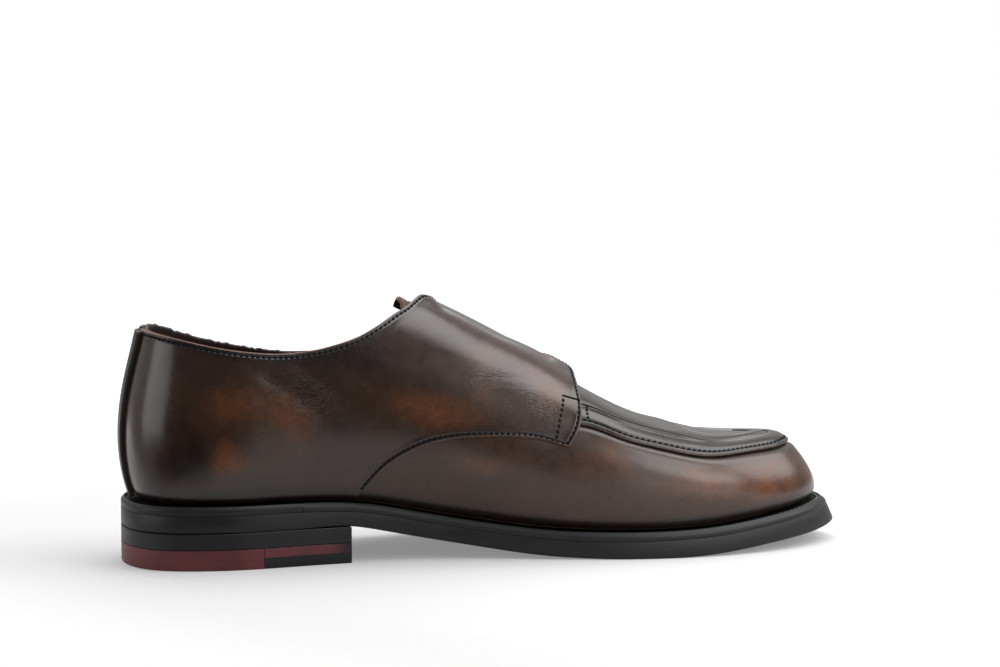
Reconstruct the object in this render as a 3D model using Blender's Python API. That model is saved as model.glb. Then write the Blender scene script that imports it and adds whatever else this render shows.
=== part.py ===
"""Monk-strap shoe with an apron toe, left foot.

Frame: toe towards +X, outer (lateral) side +Y, inner (medial) side -Y, +Z up, sole on the plane z = 0.
The tables below are in millimetres, with x measured from the back of the heel and y from the heel's centre line.
A station is a place along the shoe: 0 at the centre back, LENGTH at the toe tip. It is negative on the medial side and
positive on the lateral side. Around the heel and the toe the stations fan out, and between them station and x agree.
A girth is a distance in millimetres from the ridge of the last, along its surface, negative on the medial side.
"""
import math

import bpy
import numpy as np

MM = 0.001
GAP = 0.3

# ---------------------------------------------------------------- main sizes
LENGTH = 307.5
PERIOD = 2 * LENGTH
BREAST_X = 92.3
HEEL_TOP = 14.8
LIFT_TOP = 8.4
INSERT_X = 55.0
INSERT_TOP = 4.5
WELT_THICK = 3.6
WELT_REACH = 13.0
INSOLE_CLEAR = 3.4
WALL = 1.8
LEATHER = 1.4
OVERLAY_GAP = 0.5
JOINT_STATION = 72.0
CENTRE_X = 153.7
CENTRE_Y = 6.25

# plan outline of the sole: station, x, y
OUTLINE = [
    (0, 0.0, 0.0),
    (-10, 2.6, -15.6),
    (-22, 13.2, -28.8),
    (-36, 33.5, -34.4),
    (-60, 60.0, -32.5),
    (-90, 90.0, -27.6),
    (-120, 120.0, -26.4),
    (-150, 150.0, -30.4),
    (-180, 180.0, -38.0),
    (-205, 205.0, -43.8),
    (-225, 225.0, -45.6),
    (-245, 245.0, -44.2),
    (-265, 265.0, -39.6),
    (-283, 283.5, -32.0),
    (-297, 299.6, -20.2),
    (307.5, 308.9, -3.5),
    (297, 304.8, 16.7),
    (283, 290.5, 33.0),
    (265, 270.5, 45.0),
    (245, 247.0, 52.8),
    (225, 225.0, 57.0),
    (205, 205.0, 58.0),
    (180, 180.0, 55.5),
    (150, 150.0, 49.5),
    (120, 120.0, 42.5),
    (90, 90.0, 37.5),
    (60, 60.0, 35.6),
    (36, 33.5, 34.4),
    (22, 13.2, 28.8),
    (10, 2.6, 15.6),
]

# side profile of the sole: x, underside, top of the welt, backward lean of the top edge
SOLE = [
    (0, 15.4, 26.6, 0.0),
    (40, 15.4, 26.3, 0.0),
    (75, 15.4, 26.0, 0.0),
    (92, 15.3, 25.2, 0.0),
    (105, 13.0, 23.4, 0.0),
    (121, 9.7, 20.2, 0.0),
    (138, 6.6, 17.1, 0.0),
    (154, 3.9, 14.6, 0.0),
    (170, 1.7, 12.6, 0.0),
    (187, 0.5, 11.5, 0.0),
    (203, 0.0, 11.2, 0.0),
    (228, 0.0, 11.4, 0.0),
    (240, 0.5, 11.9, 0.2),
    (254, 1.7, 13.0, 0.6),
    (270, 3.5, 14.7, 1.3),
    (286, 5.2, 16.5, 2.3),
    (300, 6.9, 18.2, 3.8),
    (309, 8.3, 18.8, 4.8),
]

# ridge of the last: station, x, y, z
RIDGE = [
    (0, 50.0, 0.0, 134.0),
    (36, 55.0, 0.0, 132.5),
    (60, 65.0, 0.0, 128.5),
    (90, 90.0, 0.0, 120.0),
    (120, 120.0, 0.0, 109.3),
    (150, 150.0, 0.0, 94.5),
    (180, 180.0, 0.0, 77.5),
    (205, 205.0, -0.5, 62.9),
    (225, 223.0, -1.0, 54.6),
    (235, 231.5, -1.4, 52.4),
    (245, 239.5, -1.8, 49.6),
    (265, 251.0, -2.6, 46.5),
    (285, 258.5, -3.2, 46.1),
    (307.5, 262.3, -3.5, 46.2),
]

# section shape: station, inset of the feather line, then control points between feather (0) and ridge (1):
# low bulge, wall, shoulder (inwards and up) and crest (inwards). A negative value lies outside the feather line.
SECTION = [
    (0, 6.9, -0.20, 0.08, 0.135, 0.80, 0.70),
    (-36, 4.2, -0.16, 0.08, 0.28, 0.82, 0.77),
    (-60, 4.2, -0.22, 0.05, 0.23, 0.81, 0.77),
    (-90, 4.2, -0.36, -0.20, 0.13, 0.85, 0.65),
    (-120, 4.4, -0.50, -0.39, 0.11, 0.89, 0.61),
    (-150, 4.8, -0.44, -0.32, 0.13, 0.87, 0.58),
    (-180, 5.0, -0.26, -0.15, 0.19, 0.84, 0.58),
    (-205, 4.9, -0.15, -0.05, 0.05, 0.83, 0.56),
    (-225, 4.9, -0.10, -0.04, 0.10, 0.87, 0.56),
    (-245, 5.0, -0.10, -0.03, 0.14, 0.85, 0.56),
    (-265, 5.0, -0.09, 0.00, 0.18, 0.86, 0.56),
    (-285, 5.0, -0.06, 0.08, 0.25, 0.86, 0.55),
    (307.5, 4.6, -0.04, 0.135, 0.295, 0.87, 0.54),
    (285, 5.6, -0.06, 0.08, 0.25, 0.86, 0.55),
    (265, 6.0, -0.08, 0.01, 0.19, 0.86, 0.56),
    (245, 6.2, -0.08, -0.01, 0.19, 0.85, 0.56),
    (225, 6.2, -0.08, 0.00, 0.19, 0.84, 0.57),
    (205, 6.2, -0.08, 0.02, 0.22, 0.83, 0.58),
    (180, 6.0, -0.08, 0.05, 0.28, 0.84, 0.60),
    (150, 5.6, -0.09, 0.06, 0.30, 0.86, 0.62),
    (120, 5.2, -0.10, 0.04, 0.27, 0.87, 0.66),
    (90, 4.8, -0.11, 0.04, 0.26, 0.85, 0.72),
    (60, 4.4, -0.12, 0.06, 0.26, 0.82, 0.77),
    (36, 4.2, -0.14, 0.08, 0.28, 0.82, 0.77),
]
BULGE_UP = 0.22
WALL_UP = 0.62

# top line of the upper: x, height on the medial side, height on the lateral side
TOP_LINE = [
    (0, 101.0, 101.0),
    (10, 97.0, 97.4),
    (15, 96.0, 96.6),
    (22, 94.4, 94.4),
    (35, 91.4, 89.9),
    (48, 89.2, 86.7),
    (65, 87.9, 83.6),
    (83, 90.1, 82.6),
    (96, 94.0, 84.2),
    (107, 98.8, 88.0),
    (116, 103.4, 93.0),
    (124, 108.4, 99.0),
]
# throat of the upper, under the strap: x, half width of the opening
THROAT = [
    (100, 4.0),
    (112, 11.0),
    (122, 13.5),
    (140, 13.5),
    (152, 12.0),
    (160, 8.0),
    (166, 0.0),
    (175, -12.0),
]


# ---------------------------------------------------------------- curves through table rows
def spline(rows, period=None):
    """Cubic spline through the rows; the first column is the parameter. With a period the curve is closed."""
    table = np.array(rows, float)
    if period:
        table[:, 0] %= period
        table = table[np.argsort(table[:, 0])]
        table = np.vstack([table, table[:1]])
        table[-1, 0] += period
    knots, values = table[:, 0], table[:, 1:]
    count = len(knots)
    step = np.diff(knots)
    slope = np.diff(values, axis=0) / step[:, None]
    system = np.eye(count)
    right = np.zeros_like(values)
    for i in range(1, count - 1):
        system[i, i - 1:i + 2] = step[i - 1], 2 * (step[i - 1] + step[i]), step[i]
        right[i] = 6 * (slope[i] - slope[i - 1])
    if period:
        system[0] = 0
        system[0, [0, 1, -2]] = 2 * (step[-1] + step[0]), step[0], step[-1]
        right[0] = 6 * (slope[0] - slope[-1])
        system[-1] = 0
        system[-1, [0, -1]] = 1, -1
    bend = np.linalg.solve(system, right)

    def value(at):
        at = np.asarray(at, float)
        at = at % period if period else np.clip(at, knots[0], knots[-1])
        i = np.clip(np.searchsorted(knots, at, side="right") - 1, 0, count - 2)
        width = step[i][..., None]
        left = (knots[i + 1] - at)[..., None]
        gone = (at - knots[i])[..., None]
        curve = (bend[i] * left ** 3 + bend[i + 1] * gone ** 3) / (6 * width)
        curve += (values[i] / width - bend[i] * width / 6) * left
        curve += (values[i + 1] / width - bend[i + 1] * width / 6) * gone
        return curve

    return value


def mirrored(rows):
    """The same row on both sides of the shoe."""
    return rows + [(-row[0],) + tuple(row[1:]) for row in rows if 0 < row[0] < LENGTH]


outline = spline(OUTLINE, PERIOD)
sole_profile = spline(SOLE)
ridge = spline(mirrored(RIDGE), PERIOD)
section = spline(SECTION, PERIOD)
top_line = spline(TOP_LINE)
throat = spline(THROAT)


def sole_underside(x):
    return np.maximum(sole_profile(x)[..., 0], 0.0)


def sole_top(x):
    return sole_profile(x)[..., 1]


def plan(station, inset):
    """Point of the sole's outline moved inwards."""
    at = np.asarray(station, float)
    tangent = outline(at + 0.5) - outline(at - 0.5)
    tangent /= np.linalg.norm(tangent, axis=-1, keepdims=True)
    inward = np.stack([tangent[..., 1], -tangent[..., 0]], -1)
    return outline(at) + inward * np.asarray(inset)[..., None]


def rim(station, inset, height):
    """Point on the sole's edge. The height runs from the underside (0) to the top of the welt (1)."""
    flat = plan(station, inset)
    x = flat[..., 0]
    low, high, lean = sole_underside(x), sole_top(x), sole_profile(x)[..., 2]
    part = np.broadcast_to(height(x) if callable(height) else height, x.shape)
    return np.stack([x - lean * part, flat[..., 1], low + (high - low) * part], -1)


# ---------------------------------------------------------------- the last
def bspline_weights(at):
    """Weights of the six control points of a section: a clamped cubic B-spline with two inner knots."""
    knots = [0, 0, 0, 0, 1 / 3, 2 / 3, 1, 1, 1, 1]
    at = np.clip(at, 0.0, 1.0 - 1e-12)
    weights = [((at >= knots[i]) & (at < knots[i + 1])).astype(float) for i in range(9)]
    for degree in (1, 2, 3):
        raised = []
        for i in range(9 - degree):
            total = np.zeros_like(at)
            if knots[i + degree] > knots[i]:
                total = total + (at - knots[i]) / (knots[i + degree] - knots[i]) * weights[i]
            if knots[i + degree + 1] > knots[i + 1]:
                total = total + (knots[i + degree + 1] - at) / (knots[i + degree + 1] - knots[i + 1]) * weights[i + 1]
            raised.append(total)
        weights = raised
    return weights


def last_raw(station, rise):
    """Point of the last at a signed station; rise is 0 on the feather line and 1 on the ridge."""
    station, rise = np.broadcast_arrays(np.asarray(station, float), np.asarray(rise, float))
    shape = section(station)
    top = ridge(station)
    feather = rim(station, shape[..., 0], 1.0)
    feather[..., 2] += GAP
    inwards = [0.0, shape[..., 1], shape[..., 2], shape[..., 3], shape[..., 5], 1.0]
    upwards = [0.0, BULGE_UP, WALL_UP, shape[..., 4], 1.0, 1.0]
    weights = bspline_weights(rise)
    inward = sum(w * value for w, value in zip(weights, inwards))[..., None]
    upward = sum(w * value for w, value in zip(weights, upwards))[..., None]
    flat = feather[..., :2] + (top[..., :2] - feather[..., :2]) * inward
    height = feather[..., 2:] + (top[..., 2:] - feather[..., 2:]) * upward
    return np.concatenate([flat, height], -1)


RISES = np.linspace(0.0, 1.0, 61)


def arc_lengths(station):
    """Length along the section from the feather line, at each of RISES."""
    points = last_raw(np.asarray(station, float)[..., None], RISES)
    pieces = np.linalg.norm(np.diff(points, axis=-2), axis=-1)
    return np.concatenate([np.zeros(pieces.shape[:-1] + (1,)), np.cumsum(pieces, -1)], -1)


def rise_at(station, part):
    """The rise where a part (0 to 1) of the section's length above the feather line is reached."""
    station, part = np.broadcast_arrays(np.asarray(station, float), np.asarray(part, float))
    shape = station.shape
    lengths = arc_lengths(station.ravel())
    found = [np.interp(p * row[-1], row, RISES) for p, row in zip(part.ravel(), lengths)]
    return np.array(found).reshape(shape)


def last(station, rise, out=0.0):
    """Point of the last, moved outwards along the surface normal."""
    station, rise = np.broadcast_arrays(np.asarray(station, float), np.asarray(rise, float))
    inner = np.clip(rise, 0.004, 0.985)
    along = last_raw(station + 0.25, inner) - last_raw(station - 0.25, inner)
    up = last_raw(station, inner + 0.004) - last_raw(station, inner - 0.004)
    normal = np.cross(up, along)
    normal /= np.linalg.norm(normal, axis=-1, keepdims=True)
    crest = np.clip((rise - 0.93) / 0.07, 0.0, 1.0)[..., None]
    slope = ridge(np.abs(station) + 0.5) - ridge(np.abs(station) - 0.5)
    over = np.stack([-slope[..., 2], np.zeros_like(rise), slope[..., 0]], -1)
    over /= np.maximum(np.linalg.norm(over, axis=-1, keepdims=True), 1e-9)
    over = np.where(slope[..., :1] > 0.02, over, np.array([0.0, 0.0, 1.0]))
    normal = normal * (1 - crest) + over * crest
    normal /= np.linalg.norm(normal, axis=-1, keepdims=True)
    return last_raw(station, rise) + normal * np.asarray(out)[..., None]


def on_pattern(place, girth):
    """Station and rise of a point given by its place along the shoe and its girth from the ridge."""
    place, girth = np.broadcast_arrays(np.asarray(place, float), np.asarray(girth, float))
    station = np.where(girth < 0, -place, place)
    total = arc_lengths(station.ravel())[:, -1].reshape(place.shape)
    return station, rise_at(station, 1 - np.abs(girth) / total)


def opening_rise(station):
    """Rise of the collar or throat edge; 1 where the section is closed over the ridge."""
    rises = np.linspace(0.3, 1.0, 281)
    points = last_raw(np.asarray(station, float)[..., None], rises)
    side = 1 if station > 0 else 0
    above = points[..., 2] - top_line(points[..., 0])[..., side]
    above = np.where(points[..., 0] > TOP_LINE[-1][0], -50.0, above)
    inside = throat(points[..., 0])[..., 0] - np.abs(points[..., 1])
    inside = np.where(points[..., 0] < THROAT[0][0], -50.0, inside)
    is_open = np.maximum(above, inside)
    hits = np.nonzero(is_open > 0)[0]
    if len(hits) == 0:
        return 1.0
    first = hits[0]
    before, after = is_open[first - 1], is_open[first]
    return float(rises[first - 1] + (rises[1] - rises[0]) * (-before) / (after - before))


# ---------------------------------------------------------------- building solids
parts = None


def collection(name):
    made = bpy.data.collections.new(name)
    bpy.context.scene.collection.children.link(made)
    return made


def material(name, colour, roughness, metallic=0.0):
    made = bpy.data.materials.new(name)
    made.use_nodes = True
    shader = made.node_tree.nodes["Principled BSDF"]
    shader.inputs["Base Color"].default_value = (*colour, 1.0)
    shader.inputs["Roughness"].default_value = roughness
    shader.inputs["Metallic"].default_value = metallic
    return made


def finish(obj, look, smooth_angle=40.0):
    obj.data.materials.clear()
    obj.data.materials.append(look)
    obj.data.shade_smooth()
    obj.data.set_sharp_from_angle(angle=math.radians(smooth_angle))
    return obj


def solid(name, points, faces, look, smooth_angle=40.0):
    """One object from points in millimetres and faces that point outwards."""
    moved = (np.asarray(points, float) - np.array([CENTRE_X, CENTRE_Y, 0.0])) * MM
    mesh = bpy.data.meshes.new(name)
    mesh.from_pydata([tuple(p) for p in moved], [], faces)
    mesh.validate()
    mesh.update()
    obj = bpy.data.objects.new(name, mesh)
    parts.objects.link(obj)
    return finish(obj, look, smooth_angle)


def clean_face(corners):
    kept = [c for i, c in enumerate(corners) if c != corners[i - 1]]
    return tuple(kept) if len(set(kept)) >= 3 else None


def shell(name, ids, outer, inner, look, smooth_angle=40.0):
    """Closed solid between two surfaces that share one grid of point numbers (rows along, columns across)."""
    count = len(outer)
    faces = []
    for i in range(ids.shape[0] - 1):
        for j in range(ids.shape[1] - 1):
            face = clean_face([int(ids[i, j]), int(ids[i + 1, j]), int(ids[i + 1, j + 1]), int(ids[i, j + 1])])
            if face:
                faces.append(face)
    facing = 0.0
    for a, b, c in [face[:3] for face in faces]:
        facing += np.dot(np.cross(outer[b] - outer[a], outer[c] - outer[a]), outer[a] - inner[a])
    if facing < 0:
        faces = [face[::-1] for face in faces]
    edges = set()
    for face in faces:
        edges.update(zip(face, face[1:] + face[:1]))
    walls = [(b, a, a + count, b + count) for a, b in sorted(edges) if (b, a) not in edges]
    inside = [tuple(c + count for c in face[::-1]) for face in faces]
    return solid(name, np.vstack([outer, inner]), faces + inside + walls, look, smooth_angle)


def refine(rows, spans):
    """Smooth points along an edge, with a number of steps for each stretch between corners.

    Each row is two coordinates and 1 where the edge keeps a corner.
    """
    rows = np.asarray(rows, float)
    corners = [0] + [i for i in range(1, len(rows) - 1) if rows[i, 2] > 0.5] + [len(rows) - 1]
    points = []
    for start, end, steps in zip(corners, corners[1:], spans):
        keys = np.arange(start, end + 1)
        curve = spline([(k, rows[k, 0], rows[k, 1]) for k in keys])
        points.extend(curve(np.linspace(start, end, (end - start) * steps + 1)[:-1]))
    points.append(rows[-1, :2])
    return np.array(points)


def patch(name, low, high, columns, gap, thickness, look, around=False, lift=None):
    """Overlay on the last between two edges with matching points.

    Over the ridge an edge holds place and signed girth fraction (0 on the ridge, 1 on the feather line).
    Around the heel or the toe it holds station and the fraction above the feather line.
    """
    across = np.linspace(0.0, 1.0, columns + 1)[None, :, None]
    grid = low[:, None] * (1 - across) + high[:, None] * across
    if around:
        station, part = grid[..., 0], grid[..., 1]
    else:
        station, part = np.where(grid[..., 1] < 0, -grid[..., 0], grid[..., 0]), 1 - np.abs(grid[..., 1])
    rise = rise_at(station, part)
    out = gap + (lift(station, part) if lift else np.zeros(station.shape))
    ids = np.arange(station.size).reshape(station.shape)
    outer = last(station, rise, out + thickness).reshape(-1, 3)
    inner = last(station, rise, out).reshape(-1, 3)
    return shell(name, ids, outer, inner, look)


def plate(name, layers, stations, columns, look, close_front=None, smooth_angle=40.0):
    """Solid of the sole's outline from its lowest layer to its highest. A layer is an inset and a height."""
    left = -np.asarray(stations, float)
    right = np.asarray(stations, float)
    rings, points, total = [], [], 0
    for inset, height in layers:
        ring_left = height(left, inset)
        ring_right = height(right, inset)
        rings.append((ring_left, ring_right))
    caps = []
    for ring_left, ring_right in (rings[0], rings[-1]):
        across = np.linspace(0.0, 1.0, columns + 1)[None, :, None]
        caps.append(ring_left[:, None] * (1 - across) + ring_right[:, None] * across)
    ids = []
    for cap in caps:
        grid = np.zeros(cap.shape[:2], int)
        for i in range(cap.shape[0]):
            tip = np.linalg.norm(cap[i, 0] - cap[i, -1]) < 1e-6
            for j in range(cap.shape[1]):
                if tip and j:
                    grid[i, j] = grid[i, 0]
                    continue
                grid[i, j] = total
                points.append(cap[i, j])
                total += 1
        ids.append(grid)
    faces = []
    for grid, flip in ((ids[0], False), (ids[1], True)):
        for i in range(grid.shape[0] - 1):
            for j in range(grid.shape[1] - 1):
                corners = [int(grid[i, j]), int(grid[i, j + 1]), int(grid[i + 1, j + 1]), int(grid[i + 1, j])]
                face = clean_face(corners[::-1] if flip else corners)
                if face:
                    faces.append(face)

    def loop(grid):
        """Point numbers around a cap: up the right side, across the front, back down the left side."""
        right_side = [int(v) for v in grid[:, -1]]
        front = [int(v) for v in grid[-1, ::-1][1:-1]]
        left_side = [int(v) for v in grid[::-1, 0]]
        ring = right_side + front + left_side
        return [v for i, v in enumerate(ring) if v != ring[i - 1]]

    loops = [loop(ids[0])]
    for ring_left, ring_right in rings[1:-1]:
        across = np.linspace(0.0, 1.0, columns + 1)[::-1][1:-1, None]
        front = ring_left[-1] * (1 - across) + ring_right[-1] * across
        is_tip = np.linalg.norm(ring_left[-1] - ring_right[-1]) < 1e-6
        middle = list(ring_right) + ([] if is_tip else list(front)) + list(ring_left[::-1])
        ring = [p for i, p in enumerate(middle) if np.linalg.norm(p - middle[i - 1]) > 1e-6]
        loops.append(list(range(total, total + len(ring))))
        points.extend(ring)
        total += len(ring)
    loops.append(loop(ids[1]))
    for lower, upper in zip(loops, loops[1:]):
        size = len(lower)
        for k in range(size):
            faces.append((lower[k], upper[k], upper[(k + 1) % size], lower[(k + 1) % size]))
    return solid(name, points, faces, look, smooth_angle)


def ring_piece(name, stations, profile, look):
    """A bar along the sole's edge: its profile is a loop of inset and height."""
    count = len(profile)
    rows = [rim(np.asarray(stations, float), inset, height) for inset, height in profile]
    points = np.stack(rows, 1).reshape(-1, 3)
    faces = []
    for i in range(len(stations) - 1):
        for k in range(count):
            a, b = i * count + k, i * count + (k + 1) % count
            faces.append((a, a + count, b + count, b))
    end = (len(stations) - 1) * count
    faces.append(tuple(range(count)))
    faces.append(tuple(end + k for k in range(count))[::-1])
    return solid(name, points, faces, look, 30.0)


def tube(name, points, radius, look, closed):
    """A wire through points in millimetres."""
    curve = bpy.data.curves.new(name, "CURVE")
    curve.dimensions = "3D"
    curve.bevel_depth = radius * MM
    curve.bevel_resolution = 2
    curve.use_fill_caps = True
    line = curve.splines.new("POLY")
    line.points.add(len(points) - 1)
    for target, point in zip(line.points, points):
        moved = (np.asarray(point) - np.array([CENTRE_X, CENTRE_Y, 0.0])) * MM
        target.co = (*moved, 1.0)
    line.use_cyclic_u = closed
    obj = bpy.data.objects.new(name, curve)
    parts.objects.link(obj)
    curve.materials.append(look)
    return obj


def cutter_box(name, low, high):
    """A box used only to cut."""
    centre = (np.array(low) + np.array(high)) / 2 - np.array([CENTRE_X, CENTRE_Y, 0.0])
    size = np.array(high) - np.array(low)
    bpy.ops.mesh.primitive_cube_add(size=1.0, location=tuple(centre * MM))
    box = bpy.context.object
    box.name = name
    box.scale = tuple(size * MM)
    for held_by in list(box.users_collection):
        held_by.objects.unlink(box)
    cutters.objects.link(box)
    box.hide_render = True
    box.display_type = "WIRE"
    return box


def cut(obj, box, operation):
    boolean = obj.modifiers.new(operation.lower(), "BOOLEAN")
    boolean.operation = operation
    boolean.solver = "EXACT"
    boolean.object = box


# ---------------------------------------------------------------- places along the shoe
HEEL_PLACES = [0, 4, 9, 15, 22, 29, 36, 45, 55, 66, 80, BREAST_X]
PLACES = [0, 4, 9, 15, 22, 29, 36, 45, 55, 66, 78, 90, 102, 114, 126, 138, 150, 161, 171, 181, 191, 201, 211,
          221, 231, 241, 250, 259, 267, 275, 282, 288, 293, 297.5, 301, 304.5, 307.5]


def total_girth(station):
    return arc_lengths(np.asarray(station, float))[..., -1]


def part_at_height(station, height):
    """Fraction of the section above the feather line where it reaches a height."""
    points = last_raw(station, RISES)
    rise = np.interp(height, points[:, 2], RISES)
    lengths = arc_lengths(np.asarray(float(station)))
    return float(np.interp(rise, RISES, lengths) / lengths[-1])


def part_at_opening(station):
    lengths = arc_lengths(np.asarray(float(station)))
    return float(np.interp(opening_rise(station), RISES, lengths) / lengths[-1])


def edge_rows(rows):
    """Table rows (side, place, kind, value, corner) as place, signed girth fraction and corner mark."""
    made = []
    for side, place, kind, value, corner in rows:
        station = side * place
        girth = float(total_girth(station))
        if kind == "feather":
            part = value / girth
        elif kind == "height":
            part = part_at_height(station, value)
        elif kind == "top":
            part = part_at_opening(station) - value / girth
        else:
            part = 1 - value / girth
        made.append((place, side * (1 - part), corner))
    return made


MEDIAL, LATERAL = -1, 1
SOLE_CLEAR = 2.2
TOP_CLEAR = 0.2

# inner quarter with the strap, lower and front edge: side, place, kind, value, corner
INNER_LOW = [
    (MEDIAL, 0.8, "feather", SOLE_CLEAR, 0),
    (MEDIAL, 12, "feather", SOLE_CLEAR, 0),
    (MEDIAL, 28, "feather", SOLE_CLEAR, 0),
    (MEDIAL, 48, "feather", SOLE_CLEAR, 0),
    (MEDIAL, 66, "feather", SOLE_CLEAR, 0),
    (MEDIAL, 83, "feather", SOLE_CLEAR, 0),
    (MEDIAL, 95.5, "feather", SOLE_CLEAR, 1),
    (MEDIAL, 103.5, "height", 37.5, 0),
    (MEDIAL, 112.5, "height", 44.5, 0),
    (MEDIAL, 124, "height", 49.6, 0),
    (MEDIAL, 138, "height", 51.9, 0),
    (MEDIAL, 153, "height", 51.9, 0),
    (MEDIAL, 168, "height", 50.6, 0),
    (MEDIAL, 180.6, "height", 47.0, 1),
    (MEDIAL, 185.4, "height", 54.0, 0),
    (MEDIAL, 187.4, "height", 62.0, 0),
    (MEDIAL, 187.6, "girth", 19.5, 0),
    (MEDIAL, 188.2, "girth", 10.5, 0),
    (MEDIAL, 186.2, "girth", 2.0, 0),
    (LATERAL, 180.0, "girth", 8.0, 0),
    (LATERAL, 169, "girth", 17.0, 0),
    (LATERAL, 160.5, "girth", 26.0, 0),
    (LATERAL, 156, "girth", 35.0, 0),
    (LATERAL, 154, "girth", 44.0, 0),
    (LATERAL, 152, "girth", 53.0, 0),
    (LATERAL, 149.5, "girth", 61.0, 0),
    (LATERAL, 142, "girth", 66.5, 0),
]
# its collar edge and the rear edge of the strap, row by row against the table above
INNER_HIGH = [
    (MEDIAL, 0.8, "top", TOP_CLEAR, 0),
    (MEDIAL, 10, "top", TOP_CLEAR, 0),
    (MEDIAL, 23, "top", TOP_CLEAR, 0),
    (MEDIAL, 38, "top", TOP_CLEAR, 0),
    (MEDIAL, 54, "top", TOP_CLEAR, 0),
    (MEDIAL, 68, "top", TOP_CLEAR, 0),
    (MEDIAL, 80, "top", TOP_CLEAR, 1),
    (MEDIAL, 90, "top", TOP_CLEAR, 0),
    (MEDIAL, 98, "top", TOP_CLEAR, 0),
    (MEDIAL, 106, "height", 98.6, 0),
    (MEDIAL, 112, "height", 102.0, 0),
    (MEDIAL, 118, "height", 104.8, 0),
    (MEDIAL, 123.2, "girth", 7.0, 0),
    (MEDIAL, 126.8, "girth", 3.5, 1),
    (MEDIAL, 128.0, "girth", 2.3, 0),
    (MEDIAL, 129.0, "girth", 1.4, 0),
    (MEDIAL, 129.8, "girth", 0.6, 0),
    (LATERAL, 130.5, "girth", 0.5, 0),
    (LATERAL, 131.2, "girth", 3.5, 0),
    (LATERAL, 132, "girth", 10.0, 0),
    (LATERAL, 131.6, "girth", 18.0, 0),
    (LATERAL, 130, "girth", 26.5, 0),
    (LATERAL, 128.5, "girth", 35.0, 0),
    (LATERAL, 127, "girth", 44.0, 0),
    (LATERAL, 126, "girth", 53.0, 0),
    (LATERAL, 126.5, "girth", 61.0, 0),
    (LATERAL, 134, "girth", 66.5, 0),
]
# outer quarter, lower and front edge
OUTER_LOW = [
    (LATERAL, 0.8, "feather", SOLE_CLEAR, 0),
    (LATERAL, 14, "feather", SOLE_CLEAR, 0),
    (LATERAL, 32, "feather", SOLE_CLEAR, 0),
    (LATERAL, 54, "feather", SOLE_CLEAR, 0),
    (LATERAL, 78, "feather", SOLE_CLEAR, 0),
    (LATERAL, 100, "feather", SOLE_CLEAR, 1),
    (LATERAL, 109, "height", 34.0, 0),
    (LATERAL, 120, "height", 41.5, 0),
    (LATERAL, 133, "height", 46.0, 0),
    (LATERAL, 148, "height", 48.0, 0),
    (LATERAL, 160, "height", 48.5, 0),
    (LATERAL, 171, "height", 48.0, 1),
    (LATERAL, 173, "height", 55.0, 0),
    (LATERAL, 171, "height", 62.0, 0),
]
OUTER_HIGH = [
    (LATERAL, 0.8, "top", TOP_CLEAR, 0),
    (LATERAL, 12, "top", TOP_CLEAR, 0),
    (LATERAL, 28, "top", TOP_CLEAR, 0),
    (LATERAL, 46, "top", TOP_CLEAR, 0),
    (LATERAL, 66, "top", TOP_CLEAR, 0),
    (LATERAL, 84, "top", TOP_CLEAR, 1),
    (LATERAL, 96, "top", TOP_CLEAR, 0),
    (LATERAL, 107, "top", TOP_CLEAR, 0),
    (LATERAL, 118, "top", TOP_CLEAR, 0),
    (LATERAL, 129, "girth", 21.0, 0),
    (LATERAL, 140, "girth", 20.0, 0),
    (LATERAL, 150, "girth", 21.0, 1),
    (LATERAL, 158, "girth", 23.0, 0),
    (LATERAL, 165, "girth", 27.0, 0),
]

# apron band: station around the toe, height of its outer edge
BAND_EDGE = [
    (-192, 53.6),
    (-203, 51.4),
    (-215, 48.3),
    (-227, 44.4),
    (-239, 41.3),
    (-251, 40.6),
    (-264, 40.9),
    (-278, 41.2),
    (-291, 41.6),
    (-302, 42.2),
    (302, 42.0),
    (291, 41.2),
    (278, 40.6),
    (264, 40.0),
    (251, 39.8),
    (239, 40.2),
    (227, 41.6),
    (215, 44.2),
    (203, 47.6),
    (190, 52.0),
    (177, 57.0),
]
BAND_WIDTH = 9.5
BAND_THICK = 1.7

# tongue: place, half width
TONGUE = [
    (116.5, 7.0),
    (118.5, 12.0),
    (124, 16.0),
    (131, 18.0),
    (140, 20.0),
    (150, 20.0),
    (160, 19.0),
    (170, 17.0),
    (176, 15.0),
]
TONGUE_THICK = 1.8
TONGUE_TIP = 0.9

# buckle on the outer side
BUCKLE_PLACE = 141.5
BUCKLE_HALF_WIDTH = 17.2
BUCKLE_TOP = 30.0
BUCKLE_LOW = 46.0
BUCKLE_CORNER = 4.0
BUCKLE_WIRE = 1.3
PRONG_WIRE = 0.9
STRAP_OVER_QUARTER = 2.2
STRAP_OVER_BAR = 5.0
REAR_CORNER = 1.4
FRONT_CREST = 1.2


def bump(value, start, full):
    """0 before start, 1 from full on, smooth between."""
    part = np.clip((value - start) / (full - start), 0.0, 1.0)
    return part * part * (3 - 2 * part)


def strap_lift(station, part):
    """How far the strap stands off the last: over the apron band, the outer quarter and the buckle's bar."""
    girth = (1 - part) * total_girth(station)
    place = np.abs(station)
    over_band = 2.2 * bump(place, 171, 181) * (1 - bump(girth, 34, 40)) * (station < 0)
    over_crest = 2.2 * bump(place, 160, 172) * (station > 0)
    over_quarter = STRAP_OVER_QUARTER * bump(girth, 6, 14)
    over_bar = (STRAP_OVER_BAR - STRAP_OVER_QUARTER) * bump(girth, 34, 41) * (1 - bump(girth, 50, 60))
    outer = np.maximum(over_quarter + over_bar, over_crest)
    rear_corner = REAR_CORNER * (1 - bump(place, 128.5, 134)) * (1 - bump(girth, 5, 12))
    front_crest = FRONT_CREST * bump(place, 176, 182) * (1 - bump(girth, 5, 16))
    return np.where(station > 0, outer, over_band) + rear_corner + front_crest


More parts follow.
